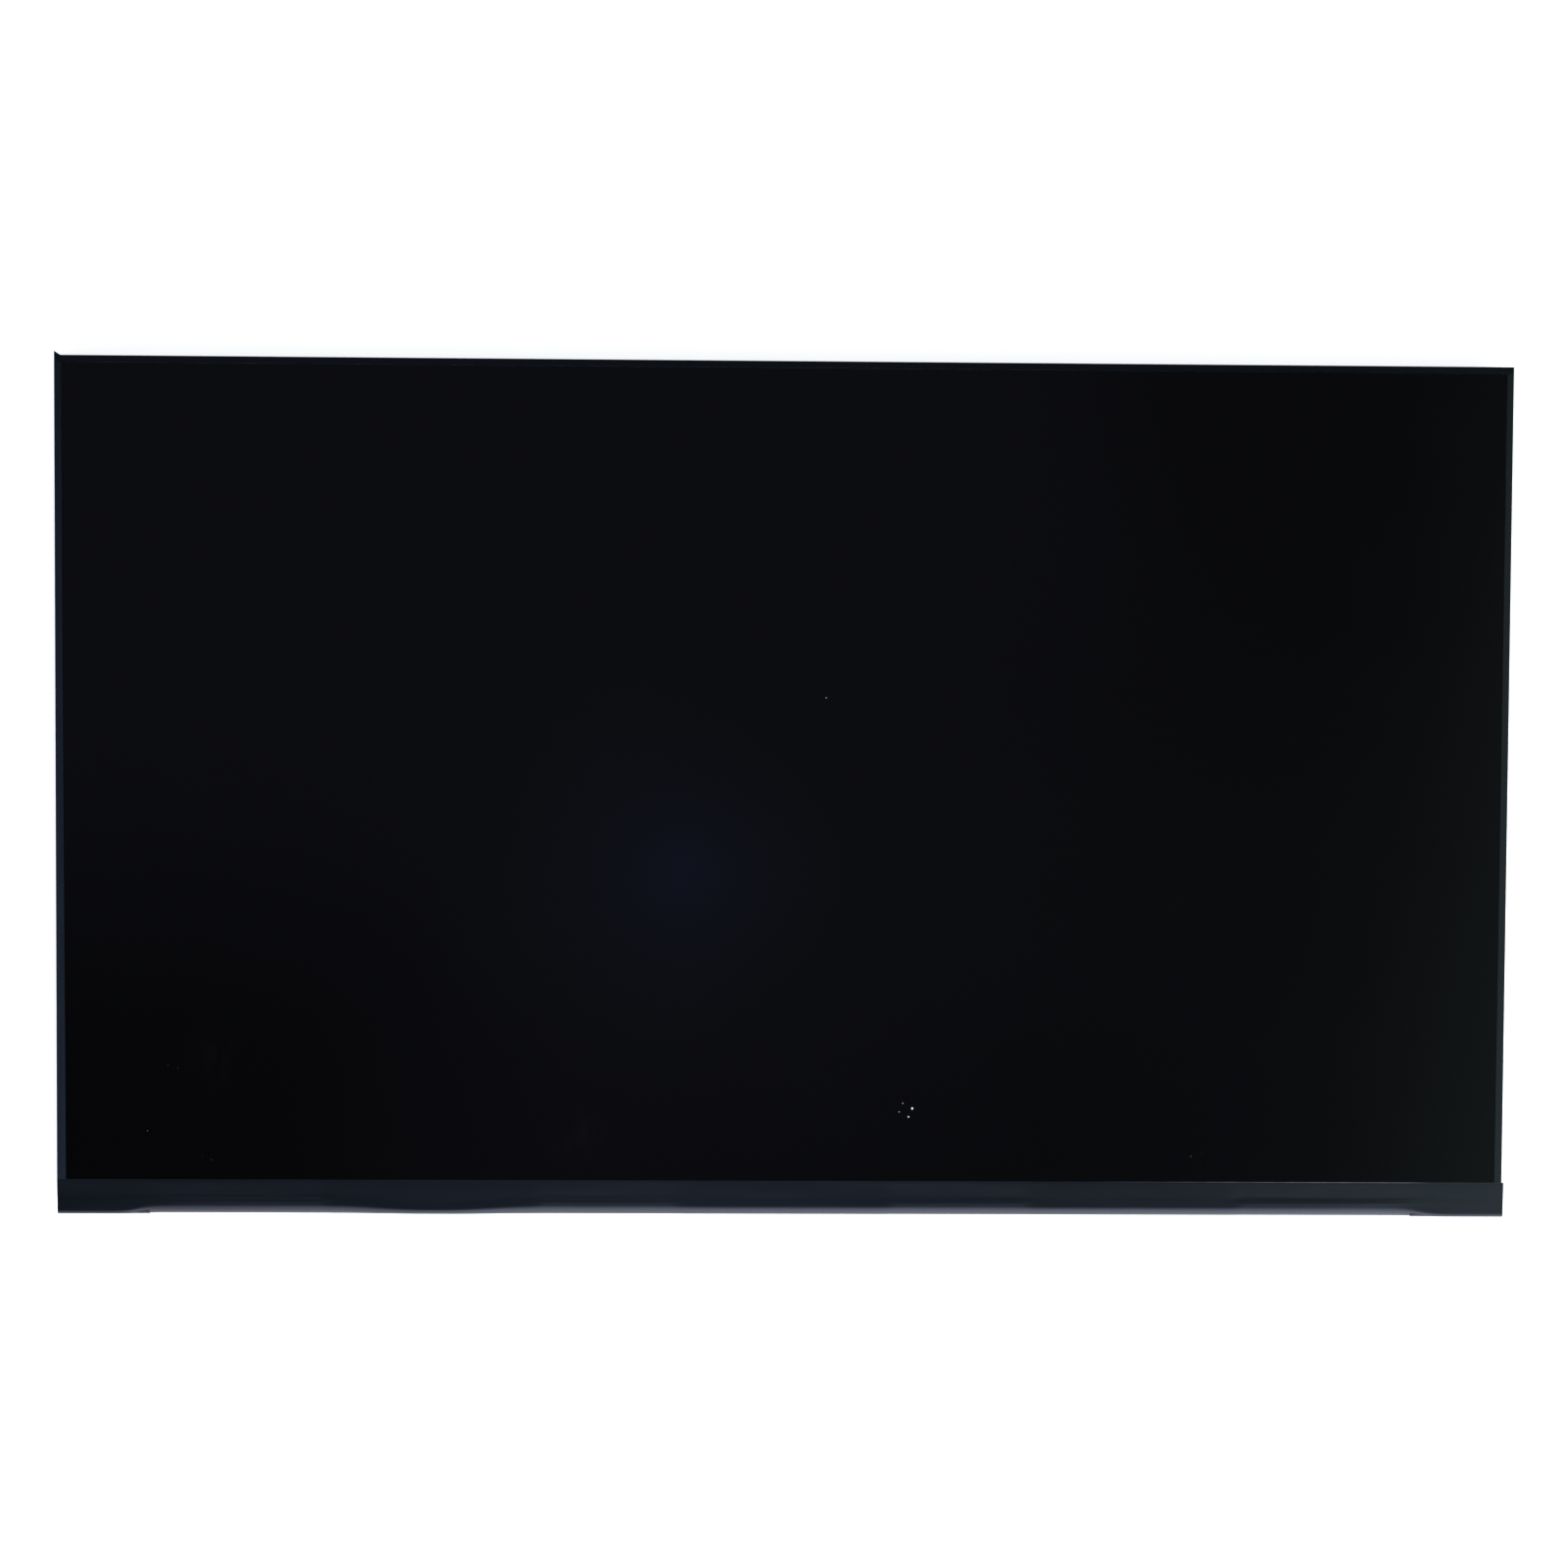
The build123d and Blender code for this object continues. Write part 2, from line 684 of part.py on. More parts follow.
def row(along, across, count, pitch):
    """Places of count pieces in a row along the board, centred on a place."""
    x, y = board_place(along, across)
    return [(x + (number - (count - 1) / 2) * pitch, y) for number in range(count)]


def two_ended(label, places, length, width, height):
    """Small parts with a metal cap at each end, each a solid of its own, on the board's outer face."""
    with BuildPart() as group:
        with BuildSketch(Plane.XY.offset(z_board_rear)):
            with Locations(*places):
                Rectangle(length, width - 2 * end_metal_step)
        extrude(amount=end_metal_step - height)
        with BuildSketch(Plane.XY.offset(z_board_rear)):
            with Locations(*places):
                with GridLocations(length - end_metal, 0, 2, 1):
                    Rectangle(end_metal, width)
        extrude(amount=-height)
    save(group, label)


capacitor_places = (
    row(-0.549, 0.73, 3, cap_pitch)
    + row(-0.341, -0.61, 3, cap_pitch)
    + row(-0.25, 0.83, 3, cap_pitch)
    + row(-0.17, -0.78, 4, cap_pitch)
    + row(0.038, 0.44, 3, cap_pitch)
    + row(0.129, -0.8, 3, cap_pitch)
    + row(0.439, 0.78, 3, cap_pitch)
    + row(0.549, 0.0, 2, cap_pitch)
    + row(0.719, 0.49, 3, cap_pitch)
)
resistor_places = (
    row(-0.59, -0.71, 6, resistor_pitch)
    + row(-0.462, -0.95, 5, resistor_pitch)
    + row(-0.39, -0.24, 3, resistor_pitch)
    + row(-0.25, -0.83, 4, resistor_pitch)
    + row(-0.049, -0.63, 4, resistor_pitch)
    + row(0.129, 0.83, 4, resistor_pitch)
    + row(0.288, 0.0, 5, resistor_pitch)
    + row(0.439, -0.73, 3, resistor_pitch)
)
diode_places = [board_place(along, 0) for along in (-0.102, 0.594)]
two_ended("board_capacitors", capacitor_places, cap_length, cap_width, cap_height)
two_ended("board_resistors", resistor_places, resistor_length, resistor_width, resistor_height)
two_ended("board_diodes", diode_places, diode_length, diode_width, diode_height)

# Video connector: its mouth faces the middle of the panel
connector_x = connector_end - board_x
mouth = board_top
connector_back = mouth - connector_depth
z_shell = z_board_rear - connector_height
housing_x = connector_width / 2 - shell_sheet
z_tongue = z_board_rear - tongue_standoff - tongue_thickness
z_contact = z_tongue - contact_thickness
foot_end = connector_back - contact_foot
contact_middle = z_contact + contact_thickness / 2
foot_middle = z_board_rear - contact_thickness / 2
contact_corners = [
    (mouth - tongue_setback, contact_middle),
    (connector_back - contact_thickness, contact_middle),
    (connector_back - contact_thickness, foot_middle),
    (foot_end, foot_middle),
]
with BuildPart() as connector_contacts:
    with BuildSketch(Plane.YZ.offset(connector_x)):
        strip_face(contact_corners, [0, 0], contact_thickness)
    blade = extrude(amount=contact_width / 2, both=True, mode=Mode.PRIVATE)
    with GridLocations(contact_pitch, 0, contact_count, 1):
        add(blade)
save(connector_contacts, "connector_contacts")

with BuildPart() as connector_housing:
    with BuildSketch(Plane.XY.offset(z_board_rear)):
        box_outline(
            connector_x - housing_x, connector_x + housing_x, connector_back, connector_back + housing_back
        )
    extrude(amount=shell_sheet - connector_height)
    with BuildSketch(Plane.XY.offset(z_tongue)):
        box_outline(
            connector_x - housing_x + shell_sheet,
            connector_x + housing_x - shell_sheet,
            connector_back + housing_back,
            mouth - tongue_setback,
        )
    extrude(amount=tongue_thickness)
    add(connector_contacts.part, mode=Mode.SUBTRACT)
save(connector_housing, "connector_housing")

with BuildPart() as connector_shell:
    with BuildSketch(Plane.XZ.offset(-mouth)) as shell_section:
        box_outline(
            connector_x - connector_width / 2, connector_x + connector_width / 2, z_shell, z_board_rear
        )
        fillet(shell_section.vertices().group_by(Axis.Y)[0], shell_bend)
        box_outline(
            connector_x - housing_x,
            connector_x + housing_x,
            z_shell + shell_sheet,
            z_board_rear,
            mode=Mode.SUBTRACT,
        )
    extrude(amount=connector_depth)
    # Feet that are soldered to the board
    with BuildSketch(Plane.XY.offset(z_board_rear)):
        with Locations((connector_x, mouth - connector_depth / 2)):
            with GridLocations(connector_width + shell_foot_reach, connector_depth / 2, 2, 2):
                Rectangle(shell_foot_reach, shell_foot_length)
    extrude(amount=-shell_sheet)
    # Openings left by the springs that press on the plug, and by the latches at the sides
    with BuildSketch(Plane.XY.offset(z_shell)):
        with Locations((connector_x, mouth - lance_setback)):
            with GridLocations(lance_pitch, 0, lance_count, 1):
                SlotOverall(lance_length, lance_width)
    extrude(amount=shell_sheet, mode=Mode.SUBTRACT)
    with BuildSketch(Plane.YZ.offset(connector_x)):
        with Locations((mouth - lance_setback, z_board_rear - connector_height / 2)):
            Rectangle(latch_length, latch_height)
    extrude(amount=connector_width / 2, both=True, mode=Mode.SUBTRACT)
save(connector_shell, "connector_shell")
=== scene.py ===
import json
import math
import random

import bmesh
import bpy
import numpy as np
from mathutils import Matrix, Vector, noise


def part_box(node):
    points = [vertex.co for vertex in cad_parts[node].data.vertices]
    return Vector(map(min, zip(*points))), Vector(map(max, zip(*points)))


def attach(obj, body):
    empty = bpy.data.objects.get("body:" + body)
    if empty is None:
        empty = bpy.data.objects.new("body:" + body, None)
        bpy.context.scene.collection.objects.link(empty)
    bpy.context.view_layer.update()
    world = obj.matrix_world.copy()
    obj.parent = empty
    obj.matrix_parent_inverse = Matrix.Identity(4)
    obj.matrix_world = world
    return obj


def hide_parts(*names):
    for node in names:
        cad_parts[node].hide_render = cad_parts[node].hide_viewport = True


# Looks of a fourteen-inch laptop screen panel that lies on its back, seen from above.
# Lengths named in millimetres are turned into metres with MM where they are used.

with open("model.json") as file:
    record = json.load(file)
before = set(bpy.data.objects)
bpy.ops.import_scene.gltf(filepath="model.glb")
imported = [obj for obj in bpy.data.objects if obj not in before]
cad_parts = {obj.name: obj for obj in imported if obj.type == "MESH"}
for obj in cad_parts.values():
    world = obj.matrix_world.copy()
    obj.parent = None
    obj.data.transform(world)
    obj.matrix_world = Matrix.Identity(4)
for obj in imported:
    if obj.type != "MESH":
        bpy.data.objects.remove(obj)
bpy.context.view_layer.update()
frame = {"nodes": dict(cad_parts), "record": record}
nodes = frame["nodes"]
scene = bpy.context.scene
scene.view_settings.view_transform = "Standard"

MM = 0.001

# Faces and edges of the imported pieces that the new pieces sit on
screen_lo, screen_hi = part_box("front_polariser")
colour_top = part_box("colour_filter_glass")[1].z
wrap_lo, wrap_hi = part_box("bottom_tape")
film_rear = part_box("driver_film_1")[0].z
board_lo, board_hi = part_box("source_board")
rim_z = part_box("board_adhesive")[1].z


# Camera, from the corners of the panel in the photograph

PICTURE_PX = 1600
FOCAL_PX = 2200
SENSOR = 36.0
CAMERA_PLACE = Vector((-7.6, 15.1, 472.7))
CAMERA_AXIS = Vector((0.01556, -0.02893, -0.99946)).normalized()
CAMERA_UP = Vector((-0.00552, 0.99956, -0.02901))

camera_place = CAMERA_PLACE * MM
camera_right = CAMERA_AXIS.cross(CAMERA_UP).normalized()
camera_up = camera_right.cross(CAMERA_AXIS)
camera = bpy.data.objects.new("camera", bpy.data.cameras.new("camera"))
camera.data.sensor_width = SENSOR
camera.data.lens = SENSOR * FOCAL_PX / PICTURE_PX
camera.data.clip_start = 10 * MM
turn = Matrix((camera_right, camera_up, -CAMERA_AXIS)).transposed()
camera.matrix_world = Matrix.Translation(camera_place) @ turn.to_4x4()
scene.collection.objects.link(camera)
scene.camera = camera


def on_screen(x_px, y_px):
    """The point of the screen's face that the photograph shows at a pixel."""
    half = PICTURE_PX / 2
    ray = CAMERA_AXIS * FOCAL_PX + camera_right * (x_px - half) + camera_up * (half - y_px)
    return camera_place + ray * ((screen_hi.z - camera_place.z) / ray.z)


# Finishes


def srgb(*levels):
    """A colour from 8-bit levels, as the shader's linear colour."""
    parts = [level / 255 for level in levels]
    return [p / 12.92 if p <= 0.04045 else ((p + 0.055) / 1.055) ** 2.4 for p in parts] + [1.0]


# Where along a noise the dark and the pale colour stand, and where a gloss is lowest and highest
NOISE_DARK, NOISE_PALE = 0.3, 0.7
GLOSS_LOW, GLOSS_HIGH = 0.25, 0.75


class Finish:
    """A material: even values stand on its Principled shader, and nodes vary the rest."""

    def __init__(self, name, **values):
        self.material = bpy.data.materials.new(name)
        self.material.use_nodes = True
        self.tree = self.material.node_tree
        self.shader = self.tree.nodes["Principled BSDF"]
        self.height = None
        for socket, value in values.items():
            self.shader.inputs[socket.replace("_", " ")].default_value = value

    def node(self, kind, **settings):
        made = self.tree.nodes.new("ShaderNode" + kind)
        for name, value in settings.items():
            setattr(made, name, value)
        return made

    def link(self, start, end):
        self.tree.links.new(start, end)

    def place(self, stretch=(1, 1, 1)):
        """The place on the object in metres, divided by stretch."""
        mapping = self.node("Mapping")
        mapping.inputs["Scale"].default_value = [1 / s for s in stretch]
        self.link(self.node("TexCoord").outputs["Object"], mapping.inputs["Vector"])
        return mapping.outputs["Vector"]

    def axes(self):
        """The place on the object in metres, axis by axis."""
        parts = self.node("SeparateXYZ")
        self.link(self.place(), parts.inputs["Vector"])
        return parts.outputs

    def noise(self, size, detail=2.0, stretch=(1, 1, 1), rough=0.5):
        """Noise with features of about size millimetres."""
        made = self.node("TexNoise")
        made.inputs["Scale"].default_value = 1 / (size * MM)
        made.inputs["Detail"].default_value = detail
        made.inputs["Roughness"].default_value = rough
        self.link(self.place(stretch), made.inputs["Vector"])
        return made.outputs["Fac"]

    def math(self, operation, first, second):
        made = self.node("Math", operation=operation)
        for socket, value in zip(made.inputs, (first, second)):
            if isinstance(value, (int, float)):
                socket.default_value = value
            else:
                self.link(value, socket)
        return made.outputs[0]

    def spread(self, source, low, high, to_low=0.0, to_high=1.0, smooth=False):
        """Source's range low to high, spread over another range and held at its ends."""
        made = self.node("MapRange")
        if smooth:
            made.interpolation_type = "SMOOTHSTEP"
        for name, value in (("From Min", low), ("From Max", high), ("To Min", to_low), ("To Max", to_high)):
            made.inputs[name].default_value = value
        self.link(source, made.inputs["Value"])
        return made.outputs["Result"]

    def ramp(self, source, *stops):
        """Colours at stops along source."""
        made = self.node("ValToRGB")
        elements = made.color_ramp.elements
        while len(elements) < len(stops):
            elements.new(0.5)
        for element, (position, colour) in zip(elements, stops):
            element.position = position
            element.color = colour
        self.link(source, made.inputs["Fac"])
        return made.outputs["Color"]

    def cloudy(self, source, dark, pale):
        """Two colours that change with a noise."""
        return self.ramp(source, (NOISE_DARK, dark), (NOISE_PALE, pale))

    def mix(self, factor, first, second):
        """Two colours, of which second shows where factor is 1."""
        made = self.node("Mix", data_type="RGBA")
        self.link(factor, made.inputs["Factor"])
        for socket, value in zip((made.inputs[6], made.inputs[7]), (first, second)):
            if isinstance(value, list):
                socket.default_value = value
            else:
                self.link(value, socket)
        return made.outputs[2]

    def colour(self, source):
        self.link(source, self.shader.inputs["Base Color"])

    def coloured(self):
        """What the colour comes from so far."""
        return self.shader.inputs["Base Color"].links[0].from_socket

    def rough(self, source, low, high):
        self.link(self.spread(source, GLOSS_LOW, GLOSS_HIGH, low, high), self.shader.inputs["Roughness"])

    def bump(self, source, depth):
        """Relief of about depth millimetres, on top of what is there."""
        made = self.node("Bump")
        made.inputs["Distance"].default_value = depth * MM
        self.link(source, made.inputs["Height"])
        if self.height:
            self.link(self.height, made.inputs["Normal"])
        self.height = made.outputs["Normal"]
        self.link(self.height, self.shader.inputs["Normal"])


def tone(colour, factor):
    """A colour made lighter or darker."""
    return [min(1.0, c * factor) for c in colour[:3]] + [1.0]


# Sizes of a plain finish's patches of colour and of gloss, in grains, and how much its roughness varies
PATCH_GRAINS = 18
GLOSS_GRAINS = 7
ROUGH_VARY = 0.06


def grained(name, colour, roughness, grain, depth, vary=0.12, stretch=(1, 1, 1), **values):
    """A finish with a fine grain, some patches of colour and an uneven gloss."""
    finish = Finish(name, **values)
    patches = finish.noise(PATCH_GRAINS * grain, 3.0, stretch)
    finish.colour(finish.cloudy(patches, tone(colour, 1 - vary), tone(colour, 1 + vary)))
    gloss = finish.noise(GLOSS_GRAINS * grain, 3.0, stretch)
    finish.rough(gloss, roughness - ROUGH_VARY, roughness + ROUGH_VARY)
    finish.bump(finish.noise(grain, 2.0, stretch), depth)
    return finish


# Smudges on the screen, by pixel and radius in millimetres, and the most that one shows
SMUDGES = ((218, 1084, 11.0), (587, 1158, 9.0))
SMUDGE_STRENGTH = 0.13


def screen_finish():
    """Anti-glare coat on a dark polariser, with faint clouds and two greasy smudges."""
    finish = Finish("anti_glare_coat", Specular_IOR_Level=0.22)
    clouds = finish.noise(70, 3.0)
    dark = finish.cloudy(clouds, srgb(5.1, 5.1, 5.6), srgb(5.7, 5.8, 6.5))
    film = finish.noise(2.5, 4.0, (1, 2.5, 1), 0.65)
    marks = None
    for x_px, y_px, radius in SMUDGES:
        distance = finish.node("VectorMath", operation="DISTANCE")
        distance.inputs[1].default_value = on_screen(x_px, y_px)
        finish.link(finish.place(), distance.inputs[0])
        near = finish.spread(distance.outputs["Value"], 0.0, radius * MM, 1.0, 0.0, True)
        marks = near if marks is None else finish.math("MAXIMUM", marks, near)
    greasy = finish.math("MULTIPLY", marks, finish.spread(film, 0.4, 0.8, 0.0, SMUDGE_STRENGTH))
    finish.colour(finish.mix(greasy, dark, srgb(34, 33, 36)))
    finish.rough(finish.noise(30, 3.0), 0.155, 0.175)
    finish.bump(finish.noise(0.09, 1.0), 0.002)
    return finish


STREAK_VARY = 0.14
FLECK_TONE = 1.9
WRAP_GLOSS = 0.74
EDGE_GLOSS = 0.29


def tape_finish(name, colour, lit_low_colour, run, gloss):
    """Black satin film tape: a fine mat grain, faint streaks along its run, lint-fine flecks and a painted
    light gradient.
    """
    finish = Finish(name, Specular_IOR_Level=gloss)
    streaks = finish.noise(1.2, 3.0, run)
    dim, pale = 1 - STREAK_VARY, 1 + STREAK_VARY
    upper = finish.cloudy(streaks, tone(colour, dim), tone(colour, pale))
    lit_lower = finish.cloudy(streaks, tone(lit_low_colour, dim), tone(lit_low_colour, pale))
    parts = finish.axes()
    # Painted light: the tape turns from its colour at the top to the paler lit low colour at the bottom
    body = finish.mix(finish.spread(parts["Y"], screen_hi.y, screen_lo.y), upper, lit_lower)
    flecks = finish.spread(finish.noise(0.16, 1.0), 0.72, 0.8)
    finish.colour(finish.mix(flecks, body, tone(lit_low_colour, FLECK_TONE)))
    finish.rough(finish.noise(4, 3.0, run), 0.22, 0.28)
    finish.bump(finish.noise(0.3, 2.0), 0.008)
    return finish


# The bottom tape's upper edge: how far it covers the screen, how wide its painted highlight is, and where
# along X that highlight brightens and fades, in millimetres
WRAP_COVER = 0.45
EDGE_LINE = 0.2
EDGE_SHINE = (60, 128)
EDGE_SHINE_END = (136, 143)


def wrap_finish():
    """The bottom tape's finish, with a painted highlight along its cut upper edge, brightest on the right."""
    finish = tape_finish("wrap_tape_film", srgb(9, 15, 21), srgb(9, 15, 21), (14, 1, 1), WRAP_GLOSS)
    parts = finish.axes()
    edge_y = screen_lo.y + WRAP_COVER * MM
    at_edge = finish.spread(parts["Y"], edge_y - EDGE_LINE * MM, edge_y, 0.0, 1.0, True)
    in_front = finish.spread(parts["Z"], colour_top, screen_hi.z)
    ragged = finish.spread(finish.noise(5.0, 4.0), 0.35, 0.65, 0.45, 1.0)
    begin, full = [x * MM for x in EDGE_SHINE]
    fade, end = [x * MM for x in EDGE_SHINE_END]
    rising = finish.spread(parts["X"], begin, full, 0.03, 1.0, True)
    falling = finish.spread(parts["X"], fade, end, 1.0, 0.1, True)
    rightward = finish.math("MULTIPLY", rising, falling)
    cut = finish.math("MULTIPLY", at_edge, in_front)
    # Painted highlight: the cut edge drawn pale as if it caught the light, broken by noise, brightest on the
    # right
    painted_highlight = finish.math("MULTIPLY", cut, finish.math("MULTIPLY", ragged, rightward))
    under = finish.coloured()
    finish.colour(finish.mix(painted_highlight, under, srgb(118, 121, 126)))
    return finish


# How far in millimetres the right tape's painted light and the top edge's painted shade reach
RIGHT_TAPE = 5
TOP_TAPE = 0.4


def edge_finish():
    """The side and top tapes' finish: painted shade along the top, and greyer painted light on the right,
    lighter lower down.
    """
    finish = tape_finish("edge_tape_film", srgb(11, 20, 28), srgb(31, 38, 48), (1, 10, 1), EDGE_GLOSS)
    parts = finish.axes()
    under = finish.coloured()
    along = finish.spread(parts["Y"], screen_hi.y, screen_lo.y)
    # Painted light on the right tape: grey, lighter towards the bottom
    painted_light_grey = finish.ramp(along, (0.0, srgb(20, 24, 23)), (1.0, srgb(28, 33, 35)))
    on_right = finish.spread(parts["X"], screen_hi.x - RIGHT_TAPE * MM, screen_hi.x)
    sides = finish.mix(on_right, under, painted_light_grey)
    # Painted shade along the top edge and over it: near black
    top_low, top_high = screen_hi.y - TOP_TAPE * MM, screen_hi.y + TOP_TAPE * MM
    top_edge_shade = finish.spread(parts["Y"], top_low, top_high)
    finish.colour(finish.mix(top_edge_shade, sides, srgb(3, 8, 12)))
    return finish


def metal_finish():
    """Rolled aluminium sheet: a grain along its length, a few scratches and cloudy patches."""
    finish = Finish("rolled_aluminium", Metallic=1.0, Anisotropic=0.35)
    grain = finish.noise(0.35, 3.0, (40, 1, 1))
    clouds = finish.noise(45, 4.0, (1.6, 1, 1))
    base = finish.cloudy(clouds, srgb(176, 178, 181), srgb(192, 193, 195))
    lines = finish.spread(finish.noise(0.5, 2.0, (90, 1, 1), 0.7), 0.66, 0.72)
    finish.colour(finish.mix(finish.math("MULTIPLY", lines, 0.25), base, srgb(120, 122, 125)))
    finish.rough(finish.noise(6, 4.0, (6, 1, 1)), 0.32, 0.46)
    finish.bump(grain, 0.004)
    return finish


def board_finish():
    """Green solder mask, darker where there is no copper beneath it."""
    finish = Finish("green_solder_mask", Specular_IOR_Level=0.5)
    copper = finish.spread(finish.noise(3.4, 1.0, (2.5, 1, 1)), 0.46, 0.5)
    finish.colour(finish.mix(copper, srgb(12, 62, 38), srgb(20, 84, 50)))
    finish.rough(finish.noise(1.5, 3.0), 0.26, 0.38)
    finish.bump(finish.noise(0.5, 2.0), 0.008)
    return finish


def epoxy_finish():
    """Moulded epoxy: near black, finely pitted by the mould's spark-worn face, with painted shade in the
    pits.
    """
    finish = Finish("moulded_epoxy", Specular_IOR_Level=0.35)
    pits_and_pit_shade = finish.noise(0.12, 2.0)
    # Painted shade: the noise that sinks the pits also colours them darker
    finish.colour(finish.ramp(pits_and_pit_shade, (0.3, srgb(26, 26, 28)), (0.75, srgb(44, 44, 46))))
    finish.rough(finish.noise(0.8, 3.0), 0.5, 0.68)
    finish.bump(pits_and_pit_shade, 0.02)
    return finish


def tinned_finish():
    """Tin over copper or steel, slightly dull and wavy."""
    finish = Finish("tinned_metal", Metallic=1.0)
    waves = finish.noise(0.4, 3.0)
    finish.colour(finish.cloudy(waves, srgb(178, 176, 172), srgb(206, 204, 200)))
    finish.rough(finish.noise(0.9, 2.0), 0.26, 0.4)
    finish.bump(finish.noise(0.7, 2.0), 0.004)
    return finish


# The plain finishes give a name, colour, roughness, size and depth of the grain in millimetres, how much the
# colour varies, and the grain's stretch
FINISHES = {
    "screen_face": screen_finish(),
    "wrap_tape": wrap_finish(),
    "edge_tape": edge_finish(),
    "cover_metal": metal_finish(),
    "board_mask": board_finish(),
    "chip_epoxy": epoxy_finish(),
    "connector_steel": tinned_finish(),
    "cell_glass": grained(
        "thin_glass", srgb(206, 216, 213), 0.08, 6, 0.001, 0.03, Transmission_Weight=0.85
    ),
    "polariser_film": grained("dark_polariser", srgb(62, 62, 68), 0.2, 3, 0.002, 0.06),
    "inner_tape": grained("double_sided_tape", srgb(48, 48, 50), 0.6, 0.4, 0.01),
    "optical_film": grained("prism_film", srgb(225, 226, 228), 0.25, 0.05, 0.02, 0.03, (60, 1, 1)),
    "diffuser_film": grained("milky_film", srgb(240, 240, 238), 0.7, 0.2, 0.004, 0.03),
    "guide_acrylic": grained(
        "light_guide_acrylic", srgb(232, 237, 237), 0.1, 1.5, 0.003, 0.02, Transmission_Weight=0.8
    ),
    "reflector_film": grained("white_reflector", srgb(246, 246, 245), 0.55, 0.5, 0.004, 0.02),
    "flex_circuit": grained("coated_flex", srgb(206, 196, 170), 0.45, 0.6, 0.008),
    "lamp_body": grained("lamp_moulding", srgb(243, 240, 232), 0.5, 0.3, 0.006, 0.04),
    "frame_plastic": grained("black_moulding", srgb(44, 44, 46), 0.55, 0.25, 0.012),
    "coil_ferrite": grained("pressed_ferrite", srgb(84, 83, 81), 0.72, 0.2, 0.03),
    "capacitor_ceramic": grained("fired_ceramic", srgb(172, 148, 120), 0.55, 0.3, 0.01, 0.1),
    "resistor_body": grained("coated_chip", srgb(52, 52, 56), 0.4, 0.3, 0.006),
    "connector_plastic": grained("heat_proof_moulding", srgb(206, 200, 183), 0.5, 0.4, 0.01, 0.06),
    "contact_gold": grained("gold_flash", srgb(230, 203, 138), 0.3, 0.2, 0.004, 0.06, Metallic=1.0),
    "driver_polyimide": grained("amber_polyimide", srgb(148, 112, 62), 0.3, 0.8, 0.004),
    "driver_silicon": grained("bare_silicon", srgb(74, 74, 82), 0.15, 1.2, 0.001, 0.05),
}

slot_of = {piece["node"]: piece["material_slot"] for piece in frame["record"]["subparts"]}
for name, piece in nodes.items():
    piece.data.materials.clear()
    piece.data.materials.append(FINISHES[slot_of[name]].material)


# Pieces


def add_piece(name, mesh, slot, *replaced):
    """Put a finished mesh on the panel, in the finish of a slot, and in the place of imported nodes."""
    piece = bpy.data.objects.new(name, mesh)
    scene.collection.objects.link(piece)
    if not mesh.materials:
        mesh.materials.append(FINISHES[slot].material)
    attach(piece, "root")
    if replaced:
        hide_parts(*replaced)


SHARP_DEGREES = 50


def thick_sheet(name, middle, thickness):
    """A closed sheet of even thickness round a grid of points, which is given row by row."""
    rows, columns, _ = middle.shape
    across = np.gradient(middle, axis=1)
    along = np.gradient(middle, axis=0)
    normal = np.cross(across, along)
    normal /= np.linalg.norm(normal, axis=2, keepdims=True)
    outer = middle + normal * (thickness / 2)
    inner = middle - normal * (thickness / 2)
    points = np.concatenate([outer.reshape(-1, 3), inner.reshape(-1, 3)])
    inside = rows * columns
    faces = []
    for r in range(rows - 1):
        for c in range(columns - 1):
            a = r * columns + c
            b = a + columns
            faces.append((a, a + 1, b + 1, b))
            faces.append((inside + a, inside + b, inside + b + 1, inside + a + 1))
    for c in range(columns - 1):
        last = (rows - 1) * columns + c
        faces.append((c, inside + c, inside + c + 1, c + 1))
        faces.append((last, last + 1, inside + last + 1, inside + last))
    for r in range(rows - 1):
        a = r * columns
        b = a + columns - 1
        faces.append((a, a + columns, inside + a + columns, inside + a))
        faces.append((b, inside + b, inside + b + columns, b + columns))
    mesh = bpy.data.meshes.new(name)
    mesh.from_pydata(points.tolist(), [], faces)
    mesh.shade_smooth()
    mesh.set_sharp_from_angle(angle=math.radians(SHARP_DEGREES))
    return mesh


def bent_line(corners, radii, arc_steps, run_step):
    """Points along a line with rounded corners, as many for each line with as many corners."""
    corners = [Vector(corner) for corner in corners]
    stops = [corners[0]]
    arcs = []
    for before, corner, after, radius in zip(corners, corners[1:], corners[2:], radii):
        to_before = (before - corner).normalized()
        to_after = (after - corner).normalized()
        half = to_before.angle(to_after) / 2
        middle = corner + (to_before + to_after).normalized() * (radius / math.sin(half))
        start = corner + to_before * (radius / math.tan(half))
        end = corner + to_after * (radius / math.tan(half))
        sweep = (start - middle).angle_signed(end - middle)
        turns = [Matrix.Rotation(-sweep * i / arc_steps, 2) for i in range(arc_steps + 1)]
        arcs.append([middle + turned @ (start - middle) for turned in turns])
        stops += [start, end]
    stops.append(corners[-1])
    points = []
    for number in range(len(corners) - 1):
        first, last = stops[2 * number], stops[2 * number + 1]
        points += [first.lerp(last, i / run_step) for i in range(run_step)]
        if number < len(arcs):
            points += arcs[number][:-1]
    return np.array(points + [corners[-1]])


# Bottom tape, over the driver films and round the bottom edge, in millimetres

